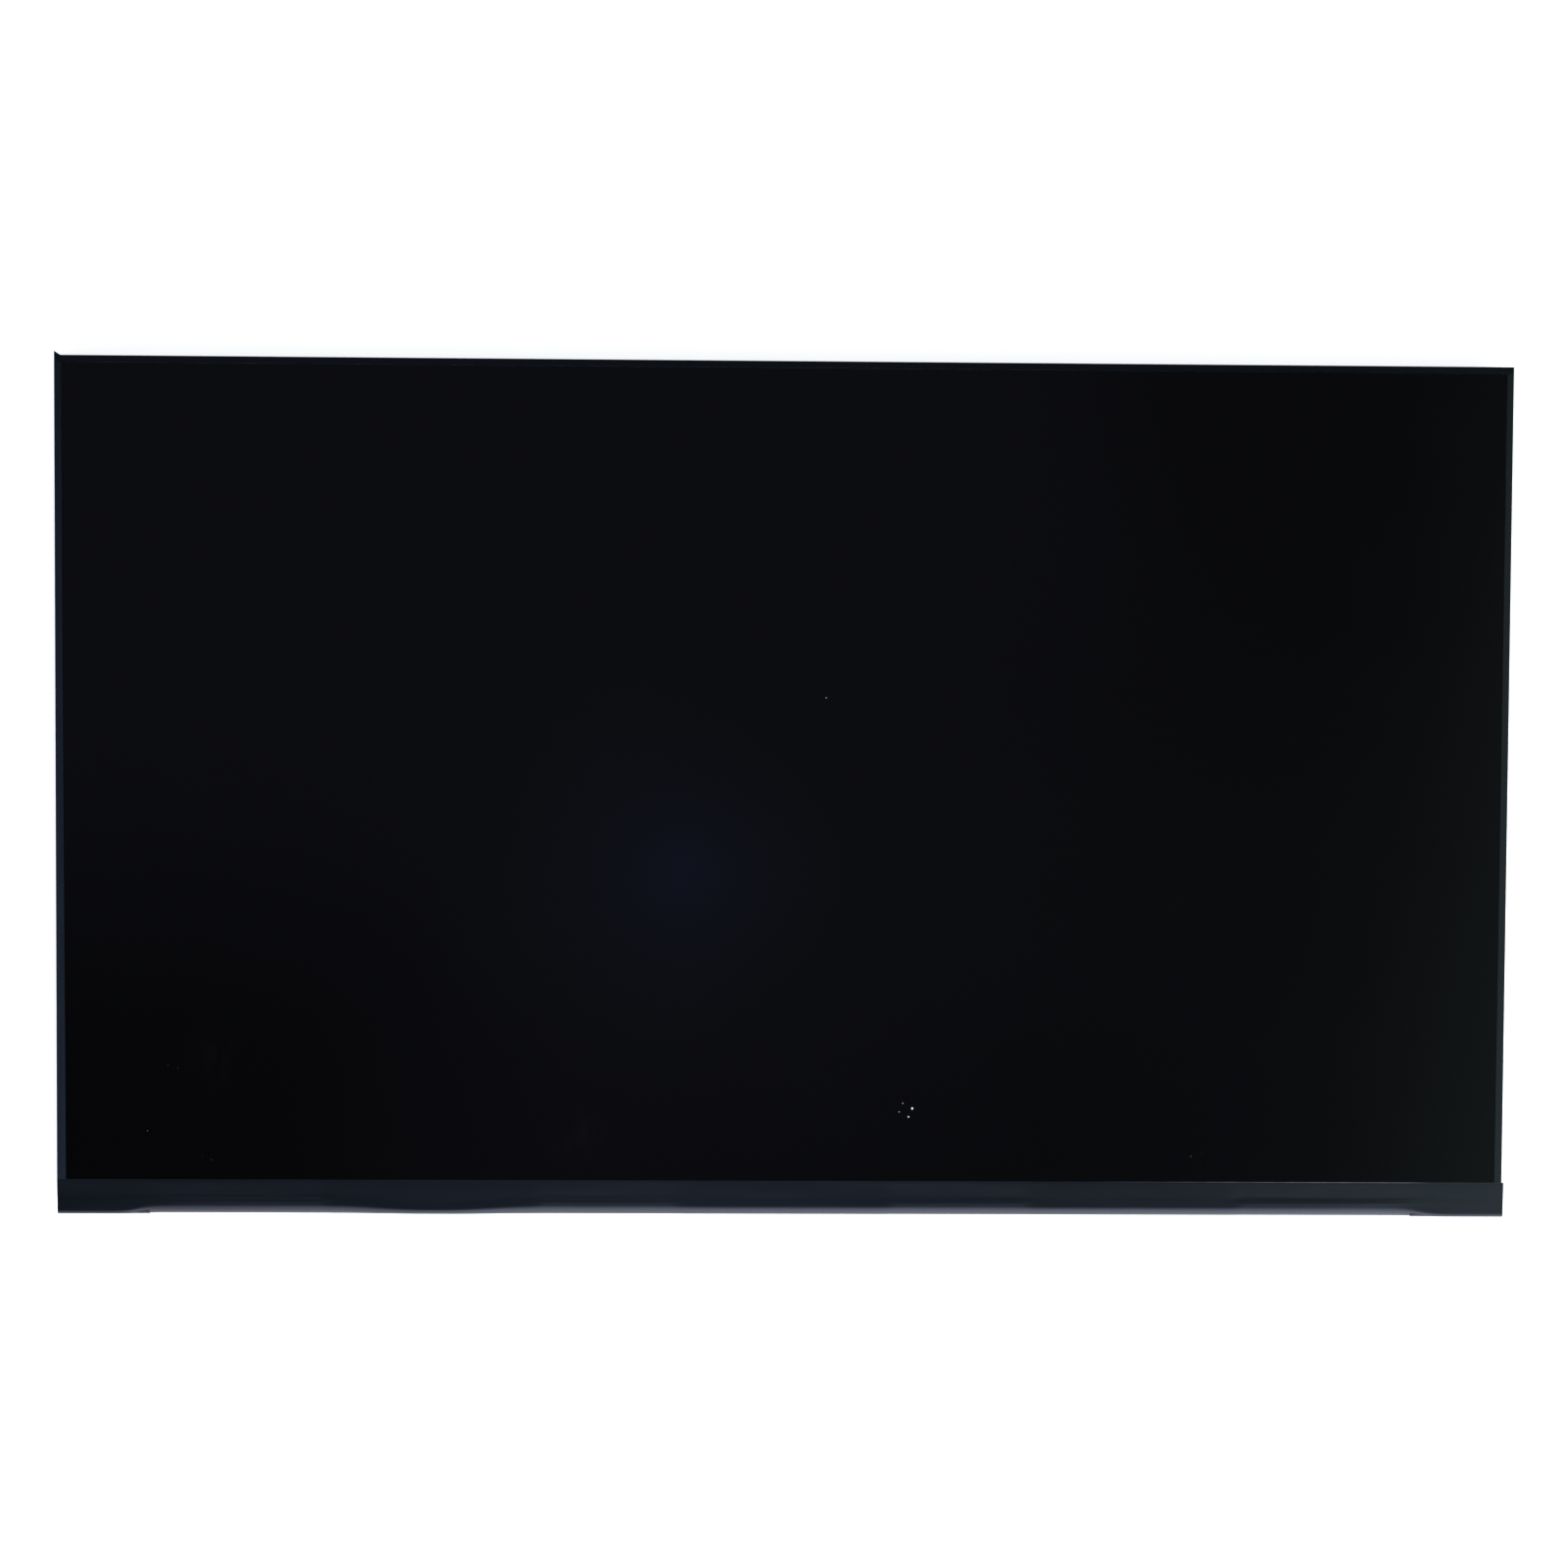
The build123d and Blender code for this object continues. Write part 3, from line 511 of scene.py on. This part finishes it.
TAPE = 0.05
TAPE_LAY = 0.01
WRAP_SAG = 0.14
WRAP_FALL = 0.1
FILM_SAG = 0.2
VALLEY_BACK = 4.2
CREST_BACK = 3.1
CREST_RISE = 0.125
CREST_FALL = 0.3
TIGHT_VALLEY_BACK = 2.6
TIGHT_CREST_BACK = 1.65
TIGHT_RISE = 0.06
FILM_BEND = 2.35
REAR_BEND = 0.64
LOW_BEND = 2.2
TIGHT_BEND = 1.3
END_BEND = 0.88
STEP_BEND = 4.0
VALLEY_BEND = 3.0
CREST_BEND = 3.0
RUN_OUT = 4.2
END_RUN_OUT = 15.0
WRAP_COLUMN = 0.8
WRINKLE = 0.035
STUCK_WRINKLE = 0.2
LOOSE_DROP = 0.06
TIGHT_MIDDLE = -76
TIGHT_REACH = 24
ARC_STEPS = 10
RUN_STEPS = 5
# How far the tape's rise over a film wanders, and how fast along a metre of the edge
WANDER = 0.2
WANDER_RATE = 90
# Wrinkles: how fast they change along a metre of the edge and across it, and how much each kind counts
FINE_RATE = (160, 420)
BROAD_RATE = (45, 200)
BROAD_SHIFT = 9
EVEN_SHARE = 0.4
FINE_SHARE = 0.35
BROAD_SHARE = 0.6


def wrap_lines():
    """The tape's middle line over a film, between films, drawn tighter, and at its ends, in Y and Z."""
    half = TAPE / 2 * MM
    upper = screen_lo.y + WRAP_COVER * MM
    front = screen_hi.z + half
    out = wrap_lo.y + half
    rear_end = wrap_hi.y
    rear = film_rear - TAPE_LAY * MM - half
    end_rear = rim_z - half
    valley = front - FILM_SAG * MM
    crest = valley + CREST_RISE * MM
    sag = front - WRAP_SAG * MM
    low = sag - WRAP_FALL * MM
    past_sag = sag - WRAP_FALL / 4 * MM
    first = out + VALLEY_BACK * MM
    second = out + CREST_BACK * MM
    tight_first = out + TIGHT_VALLEY_BACK * MM
    tight_second = out + TIGHT_CREST_BACK * MM
    over = [(first, valley), (second, crest), (out, crest - CREST_FALL * MM), (out, rear)]
    loose = [(first, sag), (second, past_sag), (out, low), (out, rear)]
    tight = [(tight_first, low), (tight_second, low + TIGHT_RISE * MM), (out, low), (out, rear)]
    ends = [(first, sag), (second, past_sag), (out, low), (out, end_rear)]
    lines = []
    for tail, fold, rear_fold in (
        (over, FILM_BEND, REAR_BEND),
        (loose, LOW_BEND, REAR_BEND),
        (tight, TIGHT_BEND, REAR_BEND),
        (ends, END_BEND, END_BEND),
    ):
        corners = [(upper, front), (screen_lo.y, front)] + tail + [(rear_end, tail[-1][1])]
        radii = [r * MM for r in (STEP_BEND, VALLEY_BEND, CREST_BEND, fold, rear_fold)]
        lines.append(bent_line(corners, radii, ARC_STEPS, RUN_STEPS))
    return lines


def ease(value):
    """A smooth step from 0 to 1."""
    value = min(1.0, max(0.0, value))
    return value * value * value * (value * (6 * value - 15) + 10)


def bottom_wrap():
    """The tape as one fine sheet that rises over each driver film."""
    over, loose, tight, ends = wrap_lines()
    front = screen_hi.z + TAPE / 2 * MM
    films = [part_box(f"driver_film_{number}") for number in range(1, 5)]
    count = round((wrap_hi.x - wrap_lo.x) / (WRAP_COLUMN * MM))
    rows = []
    for place in np.linspace(wrap_lo.x, wrap_hi.x, count + 1):
        on_film = 0.0
        for lo, hi in films:
            run_out = END_RUN_OUT if abs(place) > board_hi.x - RUN_OUT * MM else RUN_OUT
            outside = max(lo.x - place, place - hi.x) / (run_out * MM)
            wander = WANDER * noise.noise((place * WANDER_RATE, lo.x, 0))
            on_film = max(on_film, 1 - ease(outside + wander))
        drawn = 1 - ease(abs(place / MM - TIGHT_MIDDLE) / TIGHT_REACH)
        between = tight * drawn + loose * (1 - drawn)
        past_board = ease((abs(place) - board_hi.x) / (END_RUN_OUT * MM))
        off_film = 1 - on_film
        line = over * on_film + between * off_film * (1 - past_board) + ends * past_board * off_film
        row = []
        for y, z in line:
            fine = noise.noise((place * FINE_RATE[0], y * FINE_RATE[1], z * FINE_RATE[1]))
            broad = noise.noise((place * BROAD_RATE[0], y * BROAD_RATE[1], z * BROAD_RATE[1] + BROAD_SHIFT))
            drop = ease((front - z) / (LOOSE_DROP * MM))
            slack = STUCK_WRINKLE + (1 - STUCK_WRINKLE) * drop
            lift = WRINKLE * slack * MM * (EVEN_SHARE + FINE_SHARE * fine + BROAD_SHARE * broad)
            row.append((place, y, z + lift if z > rim_z else z))
        rows.append(row)
    mesh = thick_sheet("bottom_wrap", np.array(rows), TAPE * MM)
    add_piece("bottom_wrap", mesh, "wrap_tape", "bottom_tape")


bottom_wrap()


# Small details of the source board, on its outer face, which looks down

CHIPS = ("timing_chip", "memory_chip", "power_chip", "buffer_chip", "level_chip", "backlight_chip")
CONNECTOR = ("connector_shell", "connector_housing", "connector_contacts")
CAPPED = {
    "board_capacitors": "capacitor_ceramic",
    "board_resistors": "resistor_body",
    "board_diodes": "chip_epoxy",
}
CAP_METAL = 0.26
CAP_ROUND = 0.06
CAP_WIDTH_SHARE = 0.92
CAP_HEIGHT_SHARE = 0.55
COIL_WIDTH_SHARE = 0.55
COIL_SOLDER_HEIGHT = 0.3
SOLDER_REACH = 0.28
# A fillet's hollow side, as shares of its reach and height, and how much wider its far end is
SOLDER_PROFILE = ((0.0, 1.0), (0.22, 0.5), (0.55, 0.18), (1.0, 0.05))
SOLDER_FLARE = 0.25
LAND_PITCH = 0.5
LAND_WIDTH = 0.24
LAND_MARGIN = 0.5
LAND_HEIGHT = 0.2
DOT_RADIUS = 0.22
DOT_INSET = 0.7
FOIL = 0.02
TRACK_WIDTHS = (0.14, 0.14, 0.2, 0.3)
TRACK_PITCH = 0.5
TRACK_STEP = 0.25
TRACK_ROOM = 0.5
VIA_RADIUS = 0.2
PAD_RADIUS = 0.42
PAD_ROOM = 2.5
BOARD_ENDS = 6
TRACK_TRIES = 460
PAD_TRIES = 90
DRAW_SEED = 11
# Lengths of a track's first and second run, and the least of each, in track steps
FIRST_RUN = (10, 90)
SECOND_RUN = (10, 60)
LEAST_FIRST = 10
LEAST_SECOND = 6
# Points closer than this, in metres, are taken as one
TOUCH = 1e-6


def solids_of(node):
    """The separate solids of a node, as the low and high corners of each one's box."""
    bm = bmesh.new()
    bm.from_mesh(nodes[node].data)
    bmesh.ops.remove_doubles(bm, verts=bm.verts, dist=TOUCH)
    left = set(bm.verts)
    boxes = []
    while left:
        stack = [left.pop()]
        found = []
        while stack:
            vert = stack.pop()
            found.append(tuple(vert.co))
            for edge in vert.link_edges:
                other = edge.other_vert(vert)
                if other in left:
                    left.remove(other)
                    stack.append(other)
        axes = list(zip(*found))
        boxes.append((tuple(map(min, axes)), tuple(map(max, axes))))
    bm.free()
    return sorted(boxes)


def as_mesh(bm, name, *materials):
    """Close a mesh in progress, with its normals outward."""
    bmesh.ops.recalc_face_normals(bm, faces=bm.faces)
    mesh = bpy.data.meshes.new(name)
    bm.to_mesh(mesh)
    bm.free()
    for material in materials:
        mesh.materials.append(material)
    return mesh


def prism(bm, outline, low, high):
    """An upright prism on an outline, between two heights."""
    bottom = [bm.verts.new((x, y, low)) for x, y in outline]
    top = [bm.verts.new((x, y, high)) for x, y in outline]
    bm.faces.new(bottom[::-1])
    bm.faces.new(top)
    for i, start in enumerate(bottom):
        bm.faces.new((bottom[i - 1], start, top[i], top[i - 1]))


def disc(bm, x, y, radius, low, high, sides=16):
    """A round prism."""
    angles = [2 * math.pi * i / sides for i in range(sides)]
    prism(bm, [(x + radius * math.cos(a), y + radius * math.sin(a)) for a in angles], low, high)


def ribbon(points, width):
    """The outline of a line of even width through points."""
    points = [Vector(point) for point in points]
    left = []
    right = []
    for i, point in enumerate(points):
        after = (points[min(i + 1, len(points) - 1)] - point).normalized()
        before = (point - points[max(i - 1, 0)]).normalized()
        mean = (before + after).normalized()
        lean = max(before.dot(mean), after.dot(mean))
        side = Vector((-mean.y, mean.x)) * (width / 2 / lean)
        left.append(point + side)
        right.append(point - side)
    return right + left[::-1]


def solder(bm, place, outward, width, height, reach):
    """A hollow solder fillet at place on the board, against a face that looks outward."""
    out = Vector(outward)
    side = Vector((-out.y, out.x)) * (width / 2)
    rows = []
    for share, lift in SOLDER_PROFILE:
        middle = Vector(place) + out * (reach * share)
        flare = 1 + SOLDER_FLARE * share
        ends = [middle - side * flare, middle + side * flare]
        rows.append([bm.verts.new((*end, board_lo.z - height * lift)) for end in ends])
        rows[-1] += [bm.verts.new((*end, board_lo.z)) for end in ends]
    for first, second in zip(rows, rows[1:]):
        for a, b in ((0, 1), (1, 3), (3, 2), (2, 0)):
            bm.faces.new((first[a], first[b], second[b], second[a]))
    for row in (rows[0], rows[-1]):
        bm.faces.new((row[0], row[1], row[3], row[2]))


def capped_parts(node, slot, fillets):
    """A copy of a node's two-ended parts, with rounded tinned caps, which are soldered down."""
    boxes = solids_of(node)
    bm = bmesh.new()
    bm.from_mesh(nodes[node].data)
    bmesh.ops.remove_doubles(bm, verts=bm.verts, dist=TOUCH)
    bmesh.ops.dissolve_limit(bm, angle_limit=math.radians(1), verts=bm.verts, edges=bm.edges)
    caps = CAP_METAL * MM
    rounded = set()
    for face in bm.faces:
        middle = face.calc_center_bounds()
        inside = [
            (start[0], end[0])
            for start, end in boxes
            if all(start[k] - TOUCH < middle[k] < end[k] + TOUCH for k in (0, 1))
        ]
        low, high = inside[0]
        across = [vert.co.x for vert in face.verts]
        in_cap = max(across) < low + caps or min(across) > high - caps
        face.material_index = 1 if in_cap else 0
        if max(across) < low + TOUCH or min(across) > high - TOUCH:
            lifted = [e for e in face.edges if min(v.co.z for v in e.verts) < board_lo.z - TOUCH]
            rounded.update(lifted)
    edges = sorted(rounded, key=lambda e: e.index)
    bmesh.ops.bevel(bm, geom=edges, offset=CAP_ROUND * MM, segments=2, profile=0.5, affect="EDGES")
    mesh = as_mesh(bm, f"{node}_capped", FINISHES[slot].material, FINISHES["connector_steel"].material)
    for low, high in boxes:
        middle = (low[1] + high[1]) / 2
        width = CAP_WIDTH_SHARE * (high[1] - low[1])
        height = CAP_HEIGHT_SHARE * (high[2] - low[2])
        solder(fillets, (low[0], middle), (-1, 0), width, height, SOLDER_REACH * MM)
        solder(fillets, (high[0], middle), (1, 0), width, height, SOLDER_REACH * MM)
    add_piece(f"{node}_capped", mesh, slot, node)


def chip_lands(node, fillets, dots):
    """Soldered terminals round a chip's foot, and the dot that marks its first terminal."""
    low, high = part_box(node)
    middle = (low + high) / 2
    for axis in (0, 1):
        span = high[axis] - low[axis] - 2 * LAND_MARGIN * MM
        count = math.floor(span / (LAND_PITCH * MM) + 0.01) + 1
        for number in range(count):
            along = middle[axis] + (number - (count - 1) / 2) * LAND_PITCH * MM
            for sign, edge in ((-1, low[1 - axis]), (1, high[1 - axis])):
                place = (along, edge) if axis == 0 else (edge, along)
                outward = (0, sign) if axis == 0 else (sign, 0)
                solder(fillets, place, outward, LAND_WIDTH * MM, LAND_HEIGHT * MM, SOLDER_REACH * MM)
    inset = DOT_INSET * MM
    disc(dots, low.x + inset, high.y - inset, DOT_RADIUS * MM, low.z - FOIL / 2 * MM, low.z)


def free_places(rows, steps):
    """Which places of the board's open strip no part stands on, row by row."""
    free = np.ones((len(rows), len(steps)), bool)
    room = TRACK_ROOM * MM
    taken = [box for node in CAPPED for box in solids_of(node)] + solids_of("converter_coils")
    taken += [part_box(node) for node in CHIPS + CONNECTOR]
    for low, high in taken:
        beside = (rows[:, None] > low[1] - room) & (rows[:, None] < high[1] + room)
        free &= ~(beside & (steps > low[0] - room) & (steps < high[0] + room))
    return free


def board_details():
    """Tracks, vias, test pads, terminals and solder of the source board."""
    chance = random.Random(DRAW_SEED)
    fillets = bmesh.new()
    dots = bmesh.new()
    tracks = bmesh.new()
    pads = bmesh.new()
    for node, slot in CAPPED.items():
        capped_parts(node, slot, fillets)
    for node in CHIPS:
        chip_lands(node, fillets, dots)
    for low, high in solids_of("converter_coils"):
        for x, outward in ((low[0], -1), (high[0], 1)):
            place = (x, (low[1] + high[1]) / 2)
            width = COIL_WIDTH_SHARE * (high[1] - low[1])
            solder(fillets, place, (outward, 0), width, COIL_SOLDER_HEIGHT * MM, SOLDER_REACH * MM)
    edge = TRACK_PITCH * MM
    rows = np.arange(wrap_hi.y + edge, board_hi.y - edge, TRACK_PITCH * MM)
    steps = np.arange(board_lo.x + BOARD_ENDS * MM, board_hi.x - BOARD_ENDS * MM, TRACK_STEP * MM)
    free = free_places(rows, steps)
    low, high = board_lo.z - FOIL * MM, board_lo.z
    pad_reach = round(PAD_ROOM * PAD_RADIUS / TRACK_STEP)
    for _ in range(PAD_TRIES):
        r = chance.randrange(1, len(rows) - 1)
        c = chance.randrange(pad_reach, len(steps) - pad_reach)
        around = free[r - 1 : r + 2, c - pad_reach : c + pad_reach + 1]
        if around.all():
            around[:] = False
            disc(pads, steps[c], rows[r], PAD_RADIUS * MM, low, high, 24)
    for _ in range(TRACK_TRIES):
        r = chance.randrange(len(rows))
        c = chance.randrange(len(steps) - 1)
        length = chance.randrange(*FIRST_RUN)
        width = chance.choice(TRACK_WIDTHS)
        turn = chance.choice((-1, 0, 0, 1))
        second = chance.randrange(*SECOND_RUN)
        end = c
        while end < len(steps) - 1 and end - c < length and free[r, end]:
            end += 1
        if end - c < LEAST_FIRST:
            continue
        line = [(steps[c], rows[r]), (steps[end - 1], rows[r])]
        free[r, max(c - 1, 0) : end + 1] = False
        r2 = r + turn
        start2 = end - 1 + round(TRACK_PITCH / TRACK_STEP)
        end2 = start2
        if turn and 0 <= r2 < len(rows):
            while end2 < len(steps) - 1 and end2 - start2 < second and free[r2, end2]:
                end2 += 1
        if end2 - start2 > LEAST_SECOND:
            line += [(steps[start2], rows[r2]), (steps[end2 - 1], rows[r2])]
            free[r2, start2 - 1 : end2 + 1] = False
        prism(tracks, ribbon(line, width * MM), low, high)
        for x, y in (line[0], line[-1]):
            disc(tracks, x, y, VIA_RADIUS * MM, low - FOIL / 2 * MM, high, 12)
    tinned = FINISHES["connector_steel"].material
    add_piece("board_solder", as_mesh(fillets, "board_solder", tinned), "connector_steel")
    add_piece("chip_dots", as_mesh(dots, "chip_dots"), "lamp_body")
    covered = grained("mask_over_copper", srgb(34, 112, 68), 0.3, 0.5, 0.004, 0.05).material
    add_piece("board_tracks", as_mesh(tracks, "board_tracks", covered), "board_mask")
    add_piece("board_test_pads", as_mesh(pads, "board_test_pads"), "contact_gold")


board_details()


# Dust on the screen, by pixel and width in millimetres

DUST = (
    (921.2, 1125.7, 0.19),
    (930.8, 1131.0, 0.44),
    (917.4, 1134.5, 0.17),
    (926.9, 1139.5, 0.3),
    (843.0, 712.0, 0.16),
    (1215.0, 1180.0, 0.08),
    (1225.8, 1176.5, 0.065),
    (1225.0, 1185.0, 0.055),
    (171.8, 1086.8, 0.08),
    (181.7, 1090.6, 0.07),
    (150.9, 1153.8, 0.095),
    (206.6, 1180.0, 0.08),
    (215.6, 1183.4, 0.07),
)
DUST_FLATNESS = 0.18
DUST_SWELL = 0.45
DUST_LUMPS = 1.6
DUST_SHIFT = 7.3
DUST_UNDERSIDE = 0.2


def dust():
    """Crumbs that lie on the screen: small flattened lumps, each of its own shape."""
    bm = bmesh.new()
    for number, (x_px, y_px, width) in enumerate(DUST):
        lump = bmesh.ops.create_icosphere(bm, subdivisions=3, radius=width / 2 * MM)["verts"]
        place = on_screen(x_px, y_px)
        shift = Vector((number * DUST_SHIFT, 0, 0))
        for vert in lump:
            vert.co *= 1 + DUST_SWELL * noise.noise(vert.co * (DUST_LUMPS / (width * MM)) + shift)
            vert.co.z = max(vert.co.z, -vert.co.z * DUST_UNDERSIDE) * DUST_FLATNESS
            vert.co += place
    mesh = bpy.data.meshes.new("screen_dust")
    bm.to_mesh(mesh)
    bm.free()
    mesh.shade_smooth()
    add_piece("screen_dust", mesh, "reflector_film")


dust()


# Floor, backdrop and light

# The floor's reach in metres, how it glows to the camera and in gloss, and between which Y in millimetres its
# glow in gloss rises towards the front
FLOOR_REACH = 4.0
FLOOR_GLOW = 0.75
FLOOR_SHEEN = 0.2
FRONT_SHEEN = 0.7
FRONT_EDGE = (-94, -110)

floor_mesh = bpy.data.meshes.new("floor")
edge = FLOOR_REACH
floor_corners = [(-edge, -edge, 0), (edge, -edge, 0), (edge, edge, 0), (-edge, edge, 0)]
floor_mesh.from_pydata(floor_corners, [], [(0, 1, 2, 3)])
floor = bpy.data.objects.new("floor", floor_mesh)
scene.collection.objects.link(floor)


def floor_finish():
    """A white floor that keeps the panel's shadow, glows white to the camera and glows less in gloss."""
    finish = Finish("white_floor", Base_Color=srgb(232, 232, 232), Roughness=0.9, Specular_IOR_Level=0.1)
    path = finish.node("LightPath")
    mirrored = finish.math("MAXIMUM", path.outputs["Is Glossy Ray"], path.outputs["Is Transmission Ray"])
    seen = finish.math("MULTIPLY", path.outputs["Is Camera Ray"], FLOOR_GLOW)
    parts = finish.axes()
    near, far = [y * MM for y in FRONT_EDGE]
    sheen = finish.spread(parts["Y"], near, far, FLOOR_SHEEN, FRONT_SHEEN)
    glow = finish.math("ADD", seen, finish.math("MULTIPLY", mirrored, sheen))
    finish.shader.inputs["Emission Color"].default_value = (1, 1, 1, 1)
    finish.link(glow, finish.shader.inputs["Emission Strength"])
    return finish


floor_mesh.materials.append(floor_finish().material)

HORIZON = (0.85, 0.85, 0.85)
OVERHEAD = (0.14, 0.143, 0.215)
# Parts of the ceiling that the screen mirrors: the side that each lies to, how far a direction leans that way
# where it begins and where it is full, and its tone
CEILING_PATCHES = (
    ((0.0, -1.0, 0.0), 0.08, 0.17, (0.118, 0.114, 0.172)),
    ((1.0, -0.3, 0.0), 0.06, 0.14, (0.106, 0.106, 0.14)),
    ((1.0, 0.15, 0.0), 0.17, 0.25, (0.045, 0.04, 0.05)),
    ((0.5, -1.0, 0.0), 0.19, 0.26, (0.045, 0.045, 0.065)),
    ((1.0, -0.2, 0.0), 0.332, 0.364, (0.43, 0.57, 0.57)),
)
# The dark corner of the ceiling, which lies to both of these sides
CORNER = (((0.0, -1.0, 0.0), 0.05, 0.13), ((-1.0, 0.0, 0.0), 0.09, 0.23))
CORNER_TONE = (0.01, 0.008, 0.008)
# The bright wall of the room below the picture, which only the tape's fold mirrors, and its dimmer left end
WALL = ((0.0, -1.0, 0.0), 0.29, 0.9)
WALL_TONE = (1.6, 1.72, 2.3)
WALL_LEFT = ((-1.0, 0.0, 0.0), 0.15, 0.24)
WALL_LEFT_TONE = (0.68, 0.72, 1.0)
HORIZON_TOP = 0.25
CEILING_EDGE = 0.8
SEEN_TONE = (1.0, 1.0, 1.0)


def studio_world():
    """Pale near the floor and dim overhead, with darker and paler parts, but white to the camera."""
    world = bpy.data.worlds.new("studio")
    world.use_nodes = True
    tree = world.node_tree
    direction = tree.nodes.new("ShaderNodeTexCoord").outputs["Generated"]

    def reach(axis, low, high):
        """How far the direction leans to axis, as 0 below low and 1 above high."""
        lean = tree.nodes.new("ShaderNodeVectorMath")
        lean.operation = "DOT_PRODUCT"
        lean.inputs[1].default_value = axis
        tree.links.new(direction, lean.inputs[0])
        step = tree.nodes.new("ShaderNodeMapRange")
        step.interpolation_type = "SMOOTHSTEP"
        step.inputs["From Min"].default_value = low
        step.inputs["From Max"].default_value = high
        tree.links.new(lean.outputs["Value"], step.inputs["Value"])
        return step.outputs["Result"]

    def mix(factor, first, second):
        """Two tones, of which second shows where factor is 1."""
        made = tree.nodes.new("ShaderNodeMix")
        made.data_type = "RGBA"
        tree.links.new(factor, made.inputs["Factor"])
        for socket, tones in zip((made.inputs[6], made.inputs[7]), (first, second)):
            if isinstance(tones, tuple):
                socket.default_value = (*tones, 1)
            else:
                tree.links.new(tones, socket)
        return made.outputs[2]

    ceiling = OVERHEAD
    for axis, low, high, tones in CEILING_PATCHES:
        ceiling = mix(reach(axis, low, high), ceiling, tones)
    below, beside = CORNER
    corner = mix(reach(*below), ceiling, CORNER_TONE)
    ceiling = mix(reach(*beside), ceiling, corner)
    whole = mix(reach((0, 0, 1), HORIZON_TOP, CEILING_EDGE), HORIZON, ceiling)
    wall = mix(reach(*WALL_LEFT), WALL_TONE, WALL_LEFT_TONE)
    whole = mix(reach(*WALL), whole, wall)
    seen = tree.nodes.new("ShaderNodeLightPath").outputs["Is Camera Ray"]
    whole = mix(seen, whole, SEEN_TONE)
    tree.links.new(whole, tree.nodes["Background"].inputs["Color"])
    return world


scene.world = studio_world()


def softbox(name, place, aim, size, power, colour):
    """A soft lamp at place, turned towards aim."""
    lamp = bpy.data.lights.new(name, "AREA")
    lamp.shape = "RECTANGLE"
    lamp.size, lamp.size_y = size
    lamp.energy = power
    lamp.color = colour
    made = bpy.data.objects.new(name, lamp)
    made.location = place
    made.rotation_euler = (Vector(aim) - Vector(place)).to_track_quat("-Z", "Y").to_euler()
    scene.collection.objects.link(made)
    return made


# The main lamp, at the front right, in metres and watts, which no gloss shows
KEY_PLACE = (0.75, -0.6, 0.32)
KEY_AIM = (0.02, -0.02, 0)
KEY_SIZE = (0.5, 0.3)
KEY_POWER = 16.0
KEY_COLOUR = (0.92, 0.98, 1.0)

key = softbox("key", KEY_PLACE, KEY_AIM, KEY_SIZE, KEY_POWER, KEY_COLOUR)
key.visible_glossy = False

# Dim bluish lamps beside the camera, whose soft reflection is the blush below the screen's middle, by the
# pixel that mirrors each one, its width in millimetres, power and colour
BLUSHES = (
    ("blush", (697, 892), 36, 0.0032, (0.08, 0.3, 1.0)),
    ("blush_halo", (660, 915), 110, 0.003, (0.5, 0.58, 1.0)),
)
for name, seen_px, width, power, colour in BLUSHES:
    mirrored = on_screen(*seen_px)
    place = 2 * mirrored - camera_place
    place.z = camera_place.z
    softbox(name, place, mirrored, (width * MM, width * MM), power, colour)
